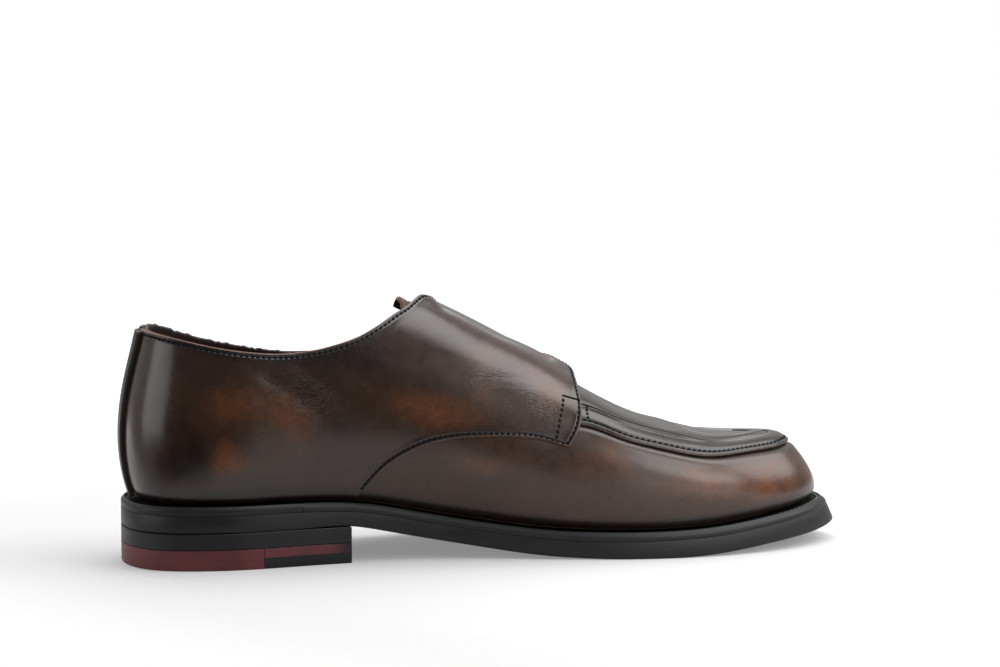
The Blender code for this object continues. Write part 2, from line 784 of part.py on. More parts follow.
def make_upper(look):
    stations = [-s for s in PLACES[::-1]][:-1] + PLACES[:-1]
    columns = 10
    steps = np.linspace(0.0, 1.0, columns + 1)
    rows, ids, total = [], np.zeros((len(stations) + 1, columns + 1), int), 0
    ridge_ids = {}
    for i, station in enumerate(stations):
        limit = opening_rise(station)
        lengths = arc_lengths(np.asarray(float(station)))
        part = float(np.interp(limit, RISES, lengths) / lengths[-1])
        rises = rise_at(np.full(columns + 1, float(station)), steps * part)
        for j in range(columns + 1):
            if j == columns and limit > 0.9999 and abs(station) in ridge_ids:
                ids[i, j] = ridge_ids[abs(station)]
                continue
            if j == columns and limit > 0.9999:
                ridge_ids[abs(station)] = total
            rows.append((station, rises[j]))
            ids[i, j] = total
            total += 1
    ids[-1] = ids[0]
    rows = np.array(rows)
    outer = last(rows[:, 0], rows[:, 1], 0.0)
    inner = last(rows[:, 0], rows[:, 1], -WALL)
    return shell("upper", ids, outer, inner, look)


def tongue_lift(station, part):
    """How far the tongue's tip rises from its place under the upper."""
    girth = (1 - part) * total_girth(station)
    return TONGUE_TIP * (1 - bump(np.abs(station), 118, 126)) * (1 - bump(girth, 6, 11))


def make_tongue(look):
    curve = spline(TONGUE)
    places = np.array([116.5, 117.5, 119, 122, 127, 136, 144, 152, 160, 168, 176])
    half = curve(places)[..., 0]
    girth = total_girth(places)
    low = np.stack([places, -half / total_girth(-places)], -1)
    high = np.stack([places, half / girth], -1)
    return patch("tongue", low, high, 10, -(WALL + 1.15 + TONGUE_THICK), TONGUE_THICK, look, lift=tongue_lift)


def make_band(look):
    rows = np.array([(s if s < 0 else s - PERIOD, h) for s, h in BAND_EDGE])
    heights = spline([(-s, h) for s, h in rows])
    stations = -np.linspace(-rows[0, 0], -rows[-1, 0], 45)
    low, high = [], []
    for station in stations:
        girth = float(total_girth(station))
        part = part_at_height(station, float(heights(-station)[..., 0]))
        low.append((station, part))
        high.append((station, part + BAND_WIDTH / girth))
    return patch("apron_band", np.array(low), np.array(high), 3, OVERLAY_GAP, BAND_THICK, look, around=True)


def make_buckle(look):
    """Frame: the top bar lies over the strap, the low bar under it, and the sides join them."""
    strap = strap_lift(np.array([BUCKLE_PLACE] * 2), np.array([
        1 - BUCKLE_TOP / total_girth(BUCKLE_PLACE), 1 - BUCKLE_LOW / total_girth(BUCKLE_PLACE)]))
    over = strap[0] + OVERLAY_GAP + LEATHER + 0.35 + BUCKLE_WIRE
    under = OVERLAY_GAP + LEATHER + 0.35 + BUCKLE_WIRE
    outline_points = []
    corners = [(1, 1), (-1, 1), (-1, -1), (1, -1)]
    for index, (across, along) in enumerate(corners):
        middle = np.array([across * (BUCKLE_HALF_WIDTH - BUCKLE_CORNER),
                           along * ((BUCKLE_LOW - BUCKLE_TOP) / 2 - BUCKLE_CORNER)])
        for turn in np.linspace(0, 90, 4):
            angle = math.radians(45 + 90 * index - 45 + turn)
            outline_points.append(middle + BUCKLE_CORNER * np.array([math.cos(angle), math.sin(angle)]))
        if index in (0, 2):
            for part in (0.2, 0.4, 0.6, 0.8):
                outline_points.append(np.array([across * (1 - 2 * part) * (BUCKLE_HALF_WIDTH - BUCKLE_CORNER),
                                                along * (BUCKLE_LOW - BUCKLE_TOP) / 2]))
        else:
            outline_points.append(np.array([across * BUCKLE_HALF_WIDTH, 0.0]))
    points = []
    for across, along in outline_points:
        girth = (BUCKLE_TOP + BUCKLE_LOW) / 2 + along
        place = BUCKLE_PLACE + across
        blend = float(bump(girth, BUCKLE_TOP + 1.0, BUCKLE_LOW - 1.0))
        station, rise = on_pattern(place, girth)
        points.append(last(station, rise, over + (under - over) * blend))
    return tube("buckle_frame", points, BUCKLE_WIRE, look, True), over


def make_prong(look, over):
    points = []
    for girth in (40.0, 38.0, 36.0, 33.5, 31.5, 30.0, 28.5, 27.0, 25.5):
        station, rise = on_pattern(BUCKLE_PLACE, girth)
        lift = float(strap_lift(station, 1 - girth / total_girth(station)))
        on_strap = lift + OVERLAY_GAP + LEATHER + 0.55 + PRONG_WIRE
        on_bar = over + BUCKLE_WIRE + 0.35 + PRONG_WIRE
        part = float(bump(girth, 37.5, 32.0)) if girth > 30 else 1.0
        points.append(last(station, rise, on_strap + (max(on_bar, on_strap) - on_strap) * part))
    return tube("buckle_prong", points, PRONG_WIRE, look, False)


def flat_layer(inset, height):
    """A layer of the heel at one height above the floor."""
    def place(station, used):
        flat = plan(station, used)
        return np.stack([np.minimum(flat[..., 0], BREAST_X), flat[..., 1], np.full(flat.shape[:-1], height)], -1)
    return inset, place


def sole_layer(inset, height):
    """A layer of the sole; its inset is a number, or a function of the station."""
    def place(station, used):
        return rim(station, used(station) if callable(used) else used, height)
    return inset, place


def insole_edge(station):
    return section(station)[..., 0] + INSOLE_CLEAR


def below_welt(x):
    return 1 - (WELT_THICK + GAP) / (sole_top(x) - sole_underside(x))


def above_outsole(x):
    return 1 - WELT_THICK / (sole_top(x) - sole_underside(x))


def below_bevel(x):
    return 1 - 2.0 / (sole_top(x) - sole_underside(x))


def raised(amount):
    return lambda x: 1 + amount / (sole_top(x) - sole_underside(x))


def welt_profile():
    return [(0.0, above_outsole), (0.0, below_bevel), (1.9, 1.0), (WELT_REACH, 1.0), (WELT_REACH, above_outsole)]


for old in list(bpy.data.objects):
    bpy.data.objects.remove(old, do_unlink=True)
parts = collection("monk_strap_shoe")
cutters = collection("cutters")

leather = material("burnished_leather", (0.060, 0.026, 0.014), 0.38)
apron_leather = material("apron_leather", (0.045, 0.022, 0.014), 0.36)
strap_leather = material("quarter_leather", (0.065, 0.028, 0.014), 0.38)
stay_leather = material("backstay_leather", (0.030, 0.016, 0.011), 0.42)
tongue_leather = material("tongue_leather", (0.090, 0.035, 0.017), 0.55)
insole_leather = material("insole_leather", (0.30, 0.17, 0.09), 0.60)
sole_rubber = material("sole_rubber", (0.020, 0.020, 0.021), 0.55)
welt_rubber = material("welt_rubber", (0.028, 0.028, 0.030), 0.50)
heel_rubber = material("heel_rubber", (0.018, 0.018, 0.019), 0.55)
lift_rubber = material("burgundy_rubber", (0.110, 0.035, 0.040), 0.55)
insert_rubber = material("insert_rubber", (0.015, 0.015, 0.016), 0.60)
buckle_metal = material("buckle_brass", (0.42, 0.33, 0.20), 0.30, 1.0)

plate("outsole", [sole_layer(0.8, 0.0), sole_layer(0.0, 0.12), sole_layer(0.0, below_welt)],
      PLACES, 4, sole_rubber)
plate("heel_base", [flat_layer(0.0, LIFT_TOP + GAP), flat_layer(0.0, HEEL_TOP)], HEEL_PLACES, 4, heel_rubber)
top_lift = plate("top_lift", [flat_layer(0.0, 0.0), flat_layer(0.0, LIFT_TOP)], HEEL_PLACES, 2, lift_rubber)
insert = plate("top_lift_insert", [flat_layer(0.0, 0.0), flat_layer(0.0, INSERT_TOP)], HEEL_PLACES, 2, insert_rubber)
cut(top_lift, cutter_box("lift_notch", (INSERT_X, -60, -5), (BREAST_X + 5, 60, INSERT_TOP + GAP)), "DIFFERENCE")
cut(insert, cutter_box("insert_keep", (INSERT_X + GAP, -60, -5), (BREAST_X + 5, 60, 20)), "INTERSECT")

welt_stations = [-s for s in PLACES if s > JOINT_STATION] + [s for s in PLACES[::-1] if s > JOINT_STATION][1:]
welt_stations = [-JOINT_STATION] + welt_stations + [JOINT_STATION]
ring_piece("welt", welt_stations, welt_profile(), welt_rubber)
rand_stations = [-s for s in PLACES[::-1] if s < JOINT_STATION - 1] + [s for s in PLACES if 0 < s < JOINT_STATION - 1]
rand_stations = ([0.5 - JOINT_STATION] + rand_stations + [JOINT_STATION - 0.5])[::-1]
ring_piece("heel_rand", rand_stations, welt_profile(), welt_rubber)

plate("insole", [sole_layer(WELT_REACH + 0.5, above_outsole), sole_layer(WELT_REACH + 0.5, raised(0.3)),
                 sole_layer(insole_edge, raised(0.31)), sole_layer(insole_edge, raised(3.3))],
      PLACES, 4, insole_leather)

make_upper(leather)
make_tongue(tongue_leather)
patch("quarter_medial", refine(edge_rows(INNER_LOW), (3, 2, 2)), refine(edge_rows(INNER_HIGH), (3, 2, 2)), 9, OVERLAY_GAP, LEATHER,
      strap_leather, lift=strap_lift)
patch("quarter_lateral", refine(edge_rows(OUTER_LOW), (4, 2, 2)), refine(edge_rows(OUTER_HIGH), (4, 2, 2)), 8, OVERLAY_GAP, LEATHER,
      strap_leather)
make_band(apron_leather)
stay_half = np.linspace(-4.4, 4.4, 5)
stay_low = [(s, 2.6 / float(total_girth(s))) for s in stay_half]
stay_high = [(s, part_at_opening(s) - 2.0 / float(total_girth(s))) for s in stay_half]
patch("backstay", np.array(stay_low), np.array(stay_high), 12, OVERLAY_GAP + LEATHER + 0.4, 1.2, stay_leather, around=True)
frame, frame_lift = make_buckle(buckle_metal)
make_prong(buckle_metal, frame_lift)
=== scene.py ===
"""Looks of the monk-strap shoe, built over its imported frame.

The tables and the functions of the last are those of the part's source, in millimetres, with x from the back of
the heel and y from the heel's centre line. A station is a place along the shoe, 0 at the centre back and LENGTH at
the toe tip, negative on the inner side. A girth is a distance from the ridge of the last along its surface.
"""
import math

import bpy
import numpy as np
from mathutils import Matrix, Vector


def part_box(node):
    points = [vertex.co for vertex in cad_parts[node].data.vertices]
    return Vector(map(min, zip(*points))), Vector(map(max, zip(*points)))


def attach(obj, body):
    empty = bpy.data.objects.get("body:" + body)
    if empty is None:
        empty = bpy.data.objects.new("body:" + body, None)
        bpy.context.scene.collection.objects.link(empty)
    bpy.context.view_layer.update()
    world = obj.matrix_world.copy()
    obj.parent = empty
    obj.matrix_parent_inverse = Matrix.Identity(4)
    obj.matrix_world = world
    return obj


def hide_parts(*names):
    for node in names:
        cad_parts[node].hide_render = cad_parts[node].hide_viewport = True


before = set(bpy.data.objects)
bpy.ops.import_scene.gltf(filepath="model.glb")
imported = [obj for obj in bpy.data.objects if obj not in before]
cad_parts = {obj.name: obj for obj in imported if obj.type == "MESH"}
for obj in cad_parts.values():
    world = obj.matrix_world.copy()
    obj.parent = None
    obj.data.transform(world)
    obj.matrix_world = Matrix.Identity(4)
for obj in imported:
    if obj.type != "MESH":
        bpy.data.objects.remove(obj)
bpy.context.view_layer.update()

MM = 0.001
# how far the last's lower edge stands above the welt
GAP = 0.3
CAMERA_PLACE = (-117.1, -1260.0, 220.0)
CAMERA_AZIMUTH = 77.55
CAMERA_ELEVATION = -5.69
CAMERA_LENS = 109.96

# ---------------------------------------------------------------- main sizes
LENGTH = 307.5
PERIOD = 2 * LENGTH
# the heel: its front, the heights of the block and the lift, and where the lift's black part starts and ends
BREAST_X = 92.3
HEEL_TOP = 14.8
LIFT_TOP = 8.4
INSERT_X = 55.0
INSERT_TOP = 4.5
# the welt: thickness, reach under the upper, and the station where it meets the heel's rand
WELT_THICK = 3.6
WELT_REACH = 13.0
JOINT_STATION = 72.0
# the upper's wall, the leather laid over it and the space between them
WALL = 1.8
LEATHER = 1.4
OVERLAY_GAP = 0.5

# plan outline of the sole: station, x, y
OUTLINE = [
    (0, 0.0, 0.0),
    (-10, 2.6, -15.6),
    (-22, 13.2, -28.8),
    (-36, 33.5, -34.4),
    (-60, 60.0, -32.5),
    (-90, 90.0, -27.6),
    (-120, 120.0, -26.4),
    (-150, 150.0, -30.4),
    (-180, 180.0, -38.0),
    (-205, 205.0, -43.8),
    (-225, 225.0, -45.6),
    (-245, 245.0, -44.2),
    (-265, 265.0, -39.6),
    (-283, 283.5, -32.0),
    (-297, 299.6, -20.2),
    (307.5, 308.9, -3.5),
    (297, 304.8, 16.7),
    (283, 290.5, 33.0),
    (265, 270.5, 45.0),
    (245, 247.0, 52.8),
    (225, 225.0, 57.0),
    (205, 205.0, 58.0),
    (180, 180.0, 55.5),
    (150, 150.0, 49.5),
    (120, 120.0, 42.5),
    (90, 90.0, 37.5),
    (60, 60.0, 35.6),
    (36, 33.5, 34.4),
    (22, 13.2, 28.8),
    (10, 2.6, 15.6),
]

# side profile of the sole: x, underside, top of the welt, backward lean of the top edge
SOLE = [
    (0, 15.4, 26.6, 0.0),
    (40, 15.4, 26.3, 0.0),
    (75, 15.4, 26.0, 0.0),
    (92, 15.3, 25.2, 0.0),
    (105, 13.0, 23.4, 0.0),
    (121, 9.7, 20.2, 0.0),
    (138, 6.6, 17.1, 0.0),
    (154, 3.9, 14.6, 0.0),
    (170, 1.7, 12.6, 0.0),
    (187, 0.5, 11.5, 0.0),
    (203, 0.0, 11.2, 0.0),
    (228, 0.0, 11.4, 0.0),
    (240, 0.5, 11.9, 0.2),
    (254, 1.7, 13.0, 0.6),
    (270, 3.5, 14.7, 1.3),
    (286, 5.2, 16.5, 2.3),
    (300, 6.9, 18.2, 3.8),
    (309, 8.3, 18.8, 4.8),
]

# ridge of the last: station, x, y, z
RIDGE = [
    (0, 50.0, 0.0, 134.0),
    (36, 55.0, 0.0, 132.5),
    (60, 65.0, 0.0, 128.5),
    (90, 90.0, 0.0, 120.0),
    (120, 120.0, 0.0, 109.3),
    (150, 150.0, 0.0, 94.5),
    (180, 180.0, 0.0, 77.5),
    (205, 205.0, -0.5, 62.9),
    (225, 223.0, -1.0, 54.6),
    (235, 231.5, -1.4, 52.4),
    (245, 239.5, -1.8, 49.6),
    (265, 251.0, -2.6, 46.5),
    (285, 258.5, -3.2, 46.1),
    (307.5, 262.3, -3.5, 46.2),
]

# section shape: station, inset of the feather line, then control points between feather (0) and ridge (1):
# low bulge, wall, shoulder (inwards and up) and crest (inwards). A negative value lies outside the feather line.
SECTION = [
    (0, 6.9, -0.20, 0.08, 0.135, 0.80, 0.70),
    (-36, 4.2, -0.16, 0.08, 0.28, 0.82, 0.77),
    (-60, 4.2, -0.22, 0.05, 0.23, 0.81, 0.77),
    (-90, 4.2, -0.36, -0.20, 0.13, 0.85, 0.65),
    (-120, 4.4, -0.50, -0.39, 0.11, 0.89, 0.61),
    (-150, 4.8, -0.44, -0.32, 0.13, 0.87, 0.58),
    (-180, 5.0, -0.26, -0.15, 0.19, 0.84, 0.58),
    (-205, 4.9, -0.15, -0.05, 0.05, 0.83, 0.56),
    (-225, 4.9, -0.10, -0.04, 0.10, 0.87, 0.56),
    (-245, 5.0, -0.10, -0.03, 0.14, 0.85, 0.56),
    (-265, 5.0, -0.09, 0.00, 0.18, 0.86, 0.56),
    (-285, 5.0, -0.06, 0.08, 0.25, 0.86, 0.55),
    (307.5, 4.6, -0.04, 0.135, 0.295, 0.87, 0.54),
    (285, 5.6, -0.06, 0.08, 0.25, 0.86, 0.55),
    (265, 6.0, -0.08, 0.01, 0.19, 0.86, 0.56),
    (245, 6.2, -0.08, -0.01, 0.19, 0.85, 0.56),
    (225, 6.2, -0.08, 0.00, 0.19, 0.84, 0.57),
    (205, 6.2, -0.08, 0.02, 0.22, 0.83, 0.58),
    (180, 6.0, -0.08, 0.05, 0.28, 0.84, 0.60),
    (150, 5.6, -0.09, 0.06, 0.30, 0.86, 0.62),
    (120, 5.2, -0.10, 0.04, 0.27, 0.87, 0.66),
    (90, 4.8, -0.11, 0.04, 0.26, 0.85, 0.72),
    (60, 4.4, -0.12, 0.06, 0.26, 0.82, 0.77),
    (36, 4.2, -0.14, 0.08, 0.28, 0.82, 0.77),
]
# how far up the bulge and the wall lie, as a part of the way to the ridge
BULGE_UP = 0.22
WALL_UP = 0.62

# top line of the upper: x, height on the medial side, height on the lateral side
TOP_LINE = [
    (0, 101.0, 101.0),
    (10, 97.0, 97.4),
    (15, 96.0, 96.6),
    (22, 94.4, 94.4),
    (35, 91.4, 89.9),
    (48, 89.2, 86.7),
    (65, 87.9, 83.6),
    (83, 90.1, 82.6),
    (96, 94.0, 84.2),
    (107, 98.8, 88.0),
    (116, 103.4, 93.0),
    (124, 108.4, 99.0),
]
# throat of the upper, under the strap: x, half width of the opening
THROAT = [
    (100, 4.0),
    (112, 11.0),
    (122, 13.5),
    (140, 13.5),
    (152, 12.0),
    (160, 8.0),
    (166, 0.0),
    (175, -12.0),
]


# ---------------------------------------------------------------- curves through table rows
def spline(rows, period=None):
    """Cubic spline through the rows; the first column is the parameter. With a period the curve is closed."""
    table = np.array(rows, float)
    if period:
        table[:, 0] %= period
        table = table[np.argsort(table[:, 0])]
        table = np.vstack([table, table[:1]])
        table[-1, 0] += period
    knots, values = table[:, 0], table[:, 1:]
    count = len(knots)
    step = np.diff(knots)
    slope = np.diff(values, axis=0) / step[:, None]
    system = np.eye(count)
    right = np.zeros_like(values)
    for i in range(1, count - 1):
        system[i, i - 1:i + 2] = step[i - 1], 2 * (step[i - 1] + step[i]), step[i]
        right[i] = 6 * (slope[i] - slope[i - 1])
    if period:
        system[0] = 0
        system[0, [0, 1, -2]] = 2 * (step[-1] + step[0]), step[0], step[-1]
        right[0] = 6 * (slope[0] - slope[-1])
        system[-1] = 0
        system[-1, [0, -1]] = 1, -1
    bend = np.linalg.solve(system, right)

    def value(at):
        at = np.asarray(at, float)
        at = at % period if period else np.clip(at, knots[0], knots[-1])
        i = np.clip(np.searchsorted(knots, at, side="right") - 1, 0, count - 2)
        width = step[i][..., None]
        left = (knots[i + 1] - at)[..., None]
        gone = (at - knots[i])[..., None]
        curve = (bend[i] * left ** 3 + bend[i + 1] * gone ** 3) / (6 * width)
        curve += (values[i] / width - bend[i] * width / 6) * left
        curve += (values[i + 1] / width - bend[i + 1] * width / 6) * gone
        return curve

    return value


def mirrored(rows):
    """The same row on both sides of the shoe."""
    return rows + [(-row[0],) + tuple(row[1:]) for row in rows if 0 < row[0] < LENGTH]


outline = spline(OUTLINE, PERIOD)
sole_profile = spline(SOLE)
ridge = spline(mirrored(RIDGE), PERIOD)
section = spline(SECTION, PERIOD)
top_line = spline(TOP_LINE)
throat = spline(THROAT)

# the sole's solid has corners at these stations near its widest place
WIDE_STATIONS = np.array([191.0, 201.0, 211.0, 221.0])
CENTRE = np.array([
    -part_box("outsole")[0].x / MM,
    outline(WIDE_STATIONS)[:, 1].max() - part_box("outsole")[1].y / MM,
    0.0,
])


def sole_underside(x):
    return np.maximum(sole_profile(x)[..., 0], 0.0)


def sole_top(x):
    return sole_profile(x)[..., 1]


def plan(station, inset):
    """Point of the sole's outline moved inwards."""
    at = np.asarray(station, float)
    tangent = outline(at + 0.5) - outline(at - 0.5)
    tangent /= np.linalg.norm(tangent, axis=-1, keepdims=True)
    inward = np.stack([tangent[..., 1], -tangent[..., 0]], -1)
    return outline(at) + inward * np.asarray(inset)[..., None]


def rim(station, inset, height):
    """Point on the sole's edge. The height runs from the underside (0) to the top of the welt (1)."""
    flat = plan(station, inset)
    x = flat[..., 0]
    low, high, lean = sole_underside(x), sole_top(x), sole_profile(x)[..., 2]
    part = np.broadcast_to(height(x) if callable(height) else height, x.shape)
    return np.stack([x - lean * part, flat[..., 1], low + (high - low) * part], -1)


# ---------------------------------------------------------------- the last
def bspline_weights(at):
    """Weights of the six control points of a section: a clamped cubic B-spline with two inner knots."""
    knots = [0, 0, 0, 0, 1 / 3, 2 / 3, 1, 1, 1, 1]
    at = np.clip(at, 0.0, 1.0 - 1e-12)
    weights = [((at >= knots[i]) & (at < knots[i + 1])).astype(float) for i in range(9)]
    for degree in (1, 2, 3):
        raised = []
        for i in range(9 - degree):
            total = np.zeros_like(at)
            if knots[i + degree] > knots[i]:
                total = total + (at - knots[i]) / (knots[i + degree] - knots[i]) * weights[i]
            final = knots[i + degree + 1]
            if final > knots[i + 1]:
                total = total + (final - at) / (final - knots[i + 1]) * weights[i + 1]
            raised.append(total)
        weights = raised
    return weights


def last_raw(station, rise):
    """Point of the last at a signed station; rise is 0 on the feather line and 1 on the ridge."""
    station, rise = np.broadcast_arrays(np.asarray(station, float), np.asarray(rise, float))
    shape = section(station)
    top = ridge(station)
    feather = rim(station, shape[..., 0], 1.0)
    feather[..., 2] += GAP
    inwards = [0.0, shape[..., 1], shape[..., 2], shape[..., 3], shape[..., 5], 1.0]
    upwards = [0.0, BULGE_UP, WALL_UP, shape[..., 4], 1.0, 1.0]
    weights = bspline_weights(rise)
    inward = sum(w * value for w, value in zip(weights, inwards))[..., None]
    upward = sum(w * value for w, value in zip(weights, upwards))[..., None]
    flat = feather[..., :2] + (top[..., :2] - feather[..., :2]) * inward
    height = feather[..., 2:] + (top[..., 2:] - feather[..., 2:]) * upward
    return np.concatenate([flat, height], -1)


# even steps for rises and for parts of a length
EVEN = np.linspace(0.0, 1.0, 241)


def arc_lengths(station):
    """Length along the section from the feather line, at each of the EVEN rises."""
    points = last_raw(np.asarray(station, float)[..., None], EVEN)
    pieces = np.linalg.norm(np.diff(points, axis=-2), axis=-1)
    return np.concatenate([np.zeros(pieces.shape[:-1] + (1,)), np.cumsum(pieces, -1)], -1)


def last(station, rise, out=0.0):
    """Point of the last, moved outwards along the surface normal."""
    station, rise = np.broadcast_arrays(np.asarray(station, float), np.asarray(rise, float))
    inner = np.clip(rise, 0.004, 0.985)
    along = last_raw(station + 0.25, inner) - last_raw(station - 0.25, inner)
    up = last_raw(station, inner + 0.004) - last_raw(station, inner - 0.004)
    normal = np.cross(up, along)
    normal /= np.linalg.norm(normal, axis=-1, keepdims=True)
    crest = np.clip((rise - 0.93) / 0.07, 0.0, 1.0)[..., None]
    slope = ridge(np.abs(station) + 0.5) - ridge(np.abs(station) - 0.5)
    over = np.stack([-slope[..., 2], np.zeros_like(rise), slope[..., 0]], -1)
    over /= np.maximum(np.linalg.norm(over, axis=-1, keepdims=True), 1e-9)
    over = np.where(slope[..., :1] > 0.02, over, np.array([0.0, 0.0, 1.0]))
    normal = normal * (1 - crest) + over * crest
    normal /= np.linalg.norm(normal, axis=-1, keepdims=True)
    return last_raw(station, rise) + normal * np.asarray(out)[..., None]


def opening_rise(station):
    """Rise of the collar or throat edge; 1 where the section is closed over the ridge."""
    rises = np.linspace(0.3, 1.0, 281)
    points = last_raw(np.asarray(station, float)[..., None], rises)
    side = 1 if station > 0 else 0
    above = points[..., 2] - top_line(points[..., 0])[..., side]
    above = np.where(points[..., 0] > TOP_LINE[-1][0], -50.0, above)
    inside = throat(points[..., 0])[..., 0] - np.abs(points[..., 1])
    inside = np.where(points[..., 0] < THROAT[0][0], -50.0, inside)
    is_open = np.maximum(above, inside)
    hits = np.nonzero(is_open > 0)[0]
    if len(hits) == 0:
        return 1.0
    first = hits[0]
    before, after = is_open[first - 1], is_open[first]
    return float(rises[first - 1] + (rises[1] - rises[0]) * (-before) / (after - before))


ARC_STEP = 0.5
ARC_STATIONS = np.arange(0.0, PERIOD, ARC_STEP)
ARC_LENGTHS = arc_lengths(ARC_STATIONS)
ARC_TOTAL = ARC_LENGTHS[:, -1]
# a row for each arc station and a column for each of EVEN: the rise at a part of the length, and the other way round
RISE_OF_PART = np.array([np.interp(EVEN * row[-1], row, EVEN) for row in ARC_LENGTHS])
PART_OF_RISE = np.array([np.interp(EVEN, row, EVEN) for row in RISE_OF_PART])


def arc_place(station):
    """The table rows before and after a station, and the share of the way between them."""
    at = (np.asarray(station, float) % PERIOD) / ARC_STEP
    first = np.floor(at).astype(int) % len(ARC_STATIONS)
    return first, (first + 1) % len(ARC_STATIONS), at - np.floor(at)


def total_girth(station):
    """Length of the section from the feather line to the ridge."""
    before, after, share = arc_place(station)
    return ARC_TOTAL[before] * (1 - share) + ARC_TOTAL[after] * share


def look_up(table, station, value):
    """A table's entry at a station and a value between 0 and 1, blended both ways."""
    station, value = np.broadcast_arrays(np.asarray(station, float), np.asarray(value, float))
    before, after, share = arc_place(station)
    at = np.clip(value, 0.0, 1.0) * (len(EVEN) - 1)
    low = np.minimum(np.floor(at).astype(int), len(EVEN) - 2)
    step = at - low
    first = table[before, low] * (1 - step) + table[before, low + 1] * step
    second = table[after, low] * (1 - step) + table[after, low + 1] * step
    return first * (1 - share) + second * share


def rise_at(station, part):
    """The rise where a part (0 to 1) of the section's length above the feather line is reached."""
    return look_up(RISE_OF_PART, station, part)


def part_of_rise(station, rise):
    """The part of the section's length above the feather line that is reached at a rise."""
    return look_up(PART_OF_RISE, station, rise)


def part_at_height(station, height):
    """Fraction of the section above the feather line where it reaches a height."""
    rises = rise_at(float(station), EVEN)
    return float(np.interp(height, last_raw(float(station), rises)[:, 2], EVEN))


# a part of the girth above this reaches the ridge, so the section has no opening
CLOSED = 0.9999


def part_at_opening(station):
    """The part of the section's length where the opening's edge is reached."""
    lengths = arc_lengths(np.asarray(float(station)))
    return float(np.interp(opening_rise(station), EVEN, lengths) / lengths[-1])


OPENING_STATIONS = np.concatenate([-np.arange(307.0, 0, -1.0), np.arange(0.0, 308.0, 1.0)])
OPENING_PARTS = np.array([part_at_opening(s) for s in OPENING_STATIONS])


def opening_part(station):
    """Fraction of the section above the feather line where the collar or throat edge lies."""
    return np.interp(station, OPENING_STATIONS, OPENING_PARTS)


def bump(value, start, full):
    """0 before start, 1 from full on, smooth between."""
    part = np.clip((np.asarray(value, float) - start) / (full - start), 0.0, 1.0)
    return part * part * (3 - 2 * part)


def hill(value, centre, width):
    """1 at the centre, falling off smoothly on both sides."""
    return np.exp(-((np.asarray(value, float) - centre) / width) ** 2)


# ---------------------------------------------------------------- building meshes
def to_row(points):
    """Shoe millimetres to the row frame in metres."""
    return (np.asarray(points, float) - CENTRE) * MM


def put(name, data):
    """A new object in the scene."""
    made = bpy.data.objects.new(name, data)
    bpy.context.scene.collection.objects.link(made)
    return made


def make_object(name, points, faces, looks, indices=None, smooth_angle=50.0):
    """A mesh from points in shoe millimetres. indices holds the number of each face's look."""
    mesh = bpy.data.meshes.new(name)
    mesh.from_pydata(to_row(points).tolist(), [], faces)
    for look in looks:
        mesh.materials.append(look)
    if indices is not None:
        mesh.polygons.foreach_set("material_index", np.asarray(indices, np.int32))
    mesh.update()
    mesh.shade_smooth()
    mesh.set_sharp_from_angle(angle=math.radians(smooth_angle))
    return put(name, mesh)


def settle(piece, slot, *nodes):
    """The piece rides on the shoe's one body and stands for its CAD nodes."""
    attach(piece, "root")
    if nodes:
        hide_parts(*nodes)
    return piece


def store_dye_and_shade(piece, values):
    """How dark each point is made, for the material: darker dye at cut edges, and painted shade in creases, grooves
    and gaps. Points beyond the values get zero.
    """
    full = np.zeros(len(piece.data.vertices), np.float32)
    full[:values.size] = np.clip(values, 0, 1.5).ravel()
    made = piece.data.attributes.new("dye_and_shade", "FLOAT", "POINT")
    made.data.foreach_set("value", full)


def grid_faces(ids):
    """Faces of a grid of point numbers, and the row and column of each. Welded corners are dropped."""
    faces, places = [], []
    rows, columns = ids.shape
    for i in range(rows - 1):
        near, far = ids[i].tolist(), ids[i + 1].tolist()
        for j in range(columns - 1):
            corners = (near[j], far[j], far[j + 1], near[j + 1])
            kept = tuple(c for k, c in enumerate(corners) if c != corners[k - 1])
            if len(set(kept)) > 2:
                faces.append(kept)
                places.append((i, j))
    return faces, places


def shell(name, ids, outer, inner, looks, raw, walls_look=1, foot=()):
    """Closed solid between two surfaces on one grid.

    raw holds the number of each outer face's look. Walls between two points of the foot have the inner side's look.
    """
    count = len(outer)
    faces, places = grid_faces(ids)
    tops = np.array([face[:3] for face in faces])
    cross = np.cross(outer[tops[:, 1]] - outer[tops[:, 0]], outer[tops[:, 2]] - outer[tops[:, 0]])
    if np.sum(cross * (outer[tops[:, 0]] - inner[tops[:, 0]])) < 0:
        faces = [face[::-1] for face in faces]
    edges = set()
    for face in faces:
        edges.update(zip(face, face[1:] + face[:1]))
    walls = [(b, a, a + count, b + count) for a, b in sorted(edges) if (b, a) not in edges]
    backs = [tuple(c + count for c in face[::-1]) for face in faces]
    index = [int(raw[i, j]) for i, j in places]
    index += [2 if wall[0] in foot and wall[1] in foot else walls_look for wall in walls]
    index += [2] * len(backs)
    return make_object(name, np.vstack([outer, inner]), faces + walls + backs, looks, index)


# distance of a row of stitches from the leather's edge, on the quarters and on the back stay
SEAM_INSET = 1.8
STAY_SEAM = 1.5


def cut_profile(distance, radius=0.8, low=0.35):
    """Share of the leather's thickness at a distance from its cut edge, which is rounded."""
    part = np.clip(distance / radius, 0.0, 1.0)
    return low + (1 - low) * np.sqrt(np.clip(1 - (1 - part) ** 2, 0.0, 1.0))


def seam_relief(distance, centre=SEAM_INSET, depth=0.26, width=0.46):
    """Trough pulled in by a row of stitches, with the leather a little proud on both sides."""
    swell = 0.10 * hill(distance, centre - 0.95, 0.5) + 0.08 * hill(distance, centre + 1.1, 0.7)
    return swell - depth * hill(distance, centre, width)


def path_lengths(points):
    """Distance along a chain of points, from its first."""
    return np.concatenate([[0.0], np.cumsum(np.linalg.norm(np.diff(points, axis=0), axis=1))])


def off_last(station, rise, out):
    """Points off the last, and the directions straight outwards there."""
    points = last(station, rise, out)
    return points, last(station, rise, out + 1.0) - points


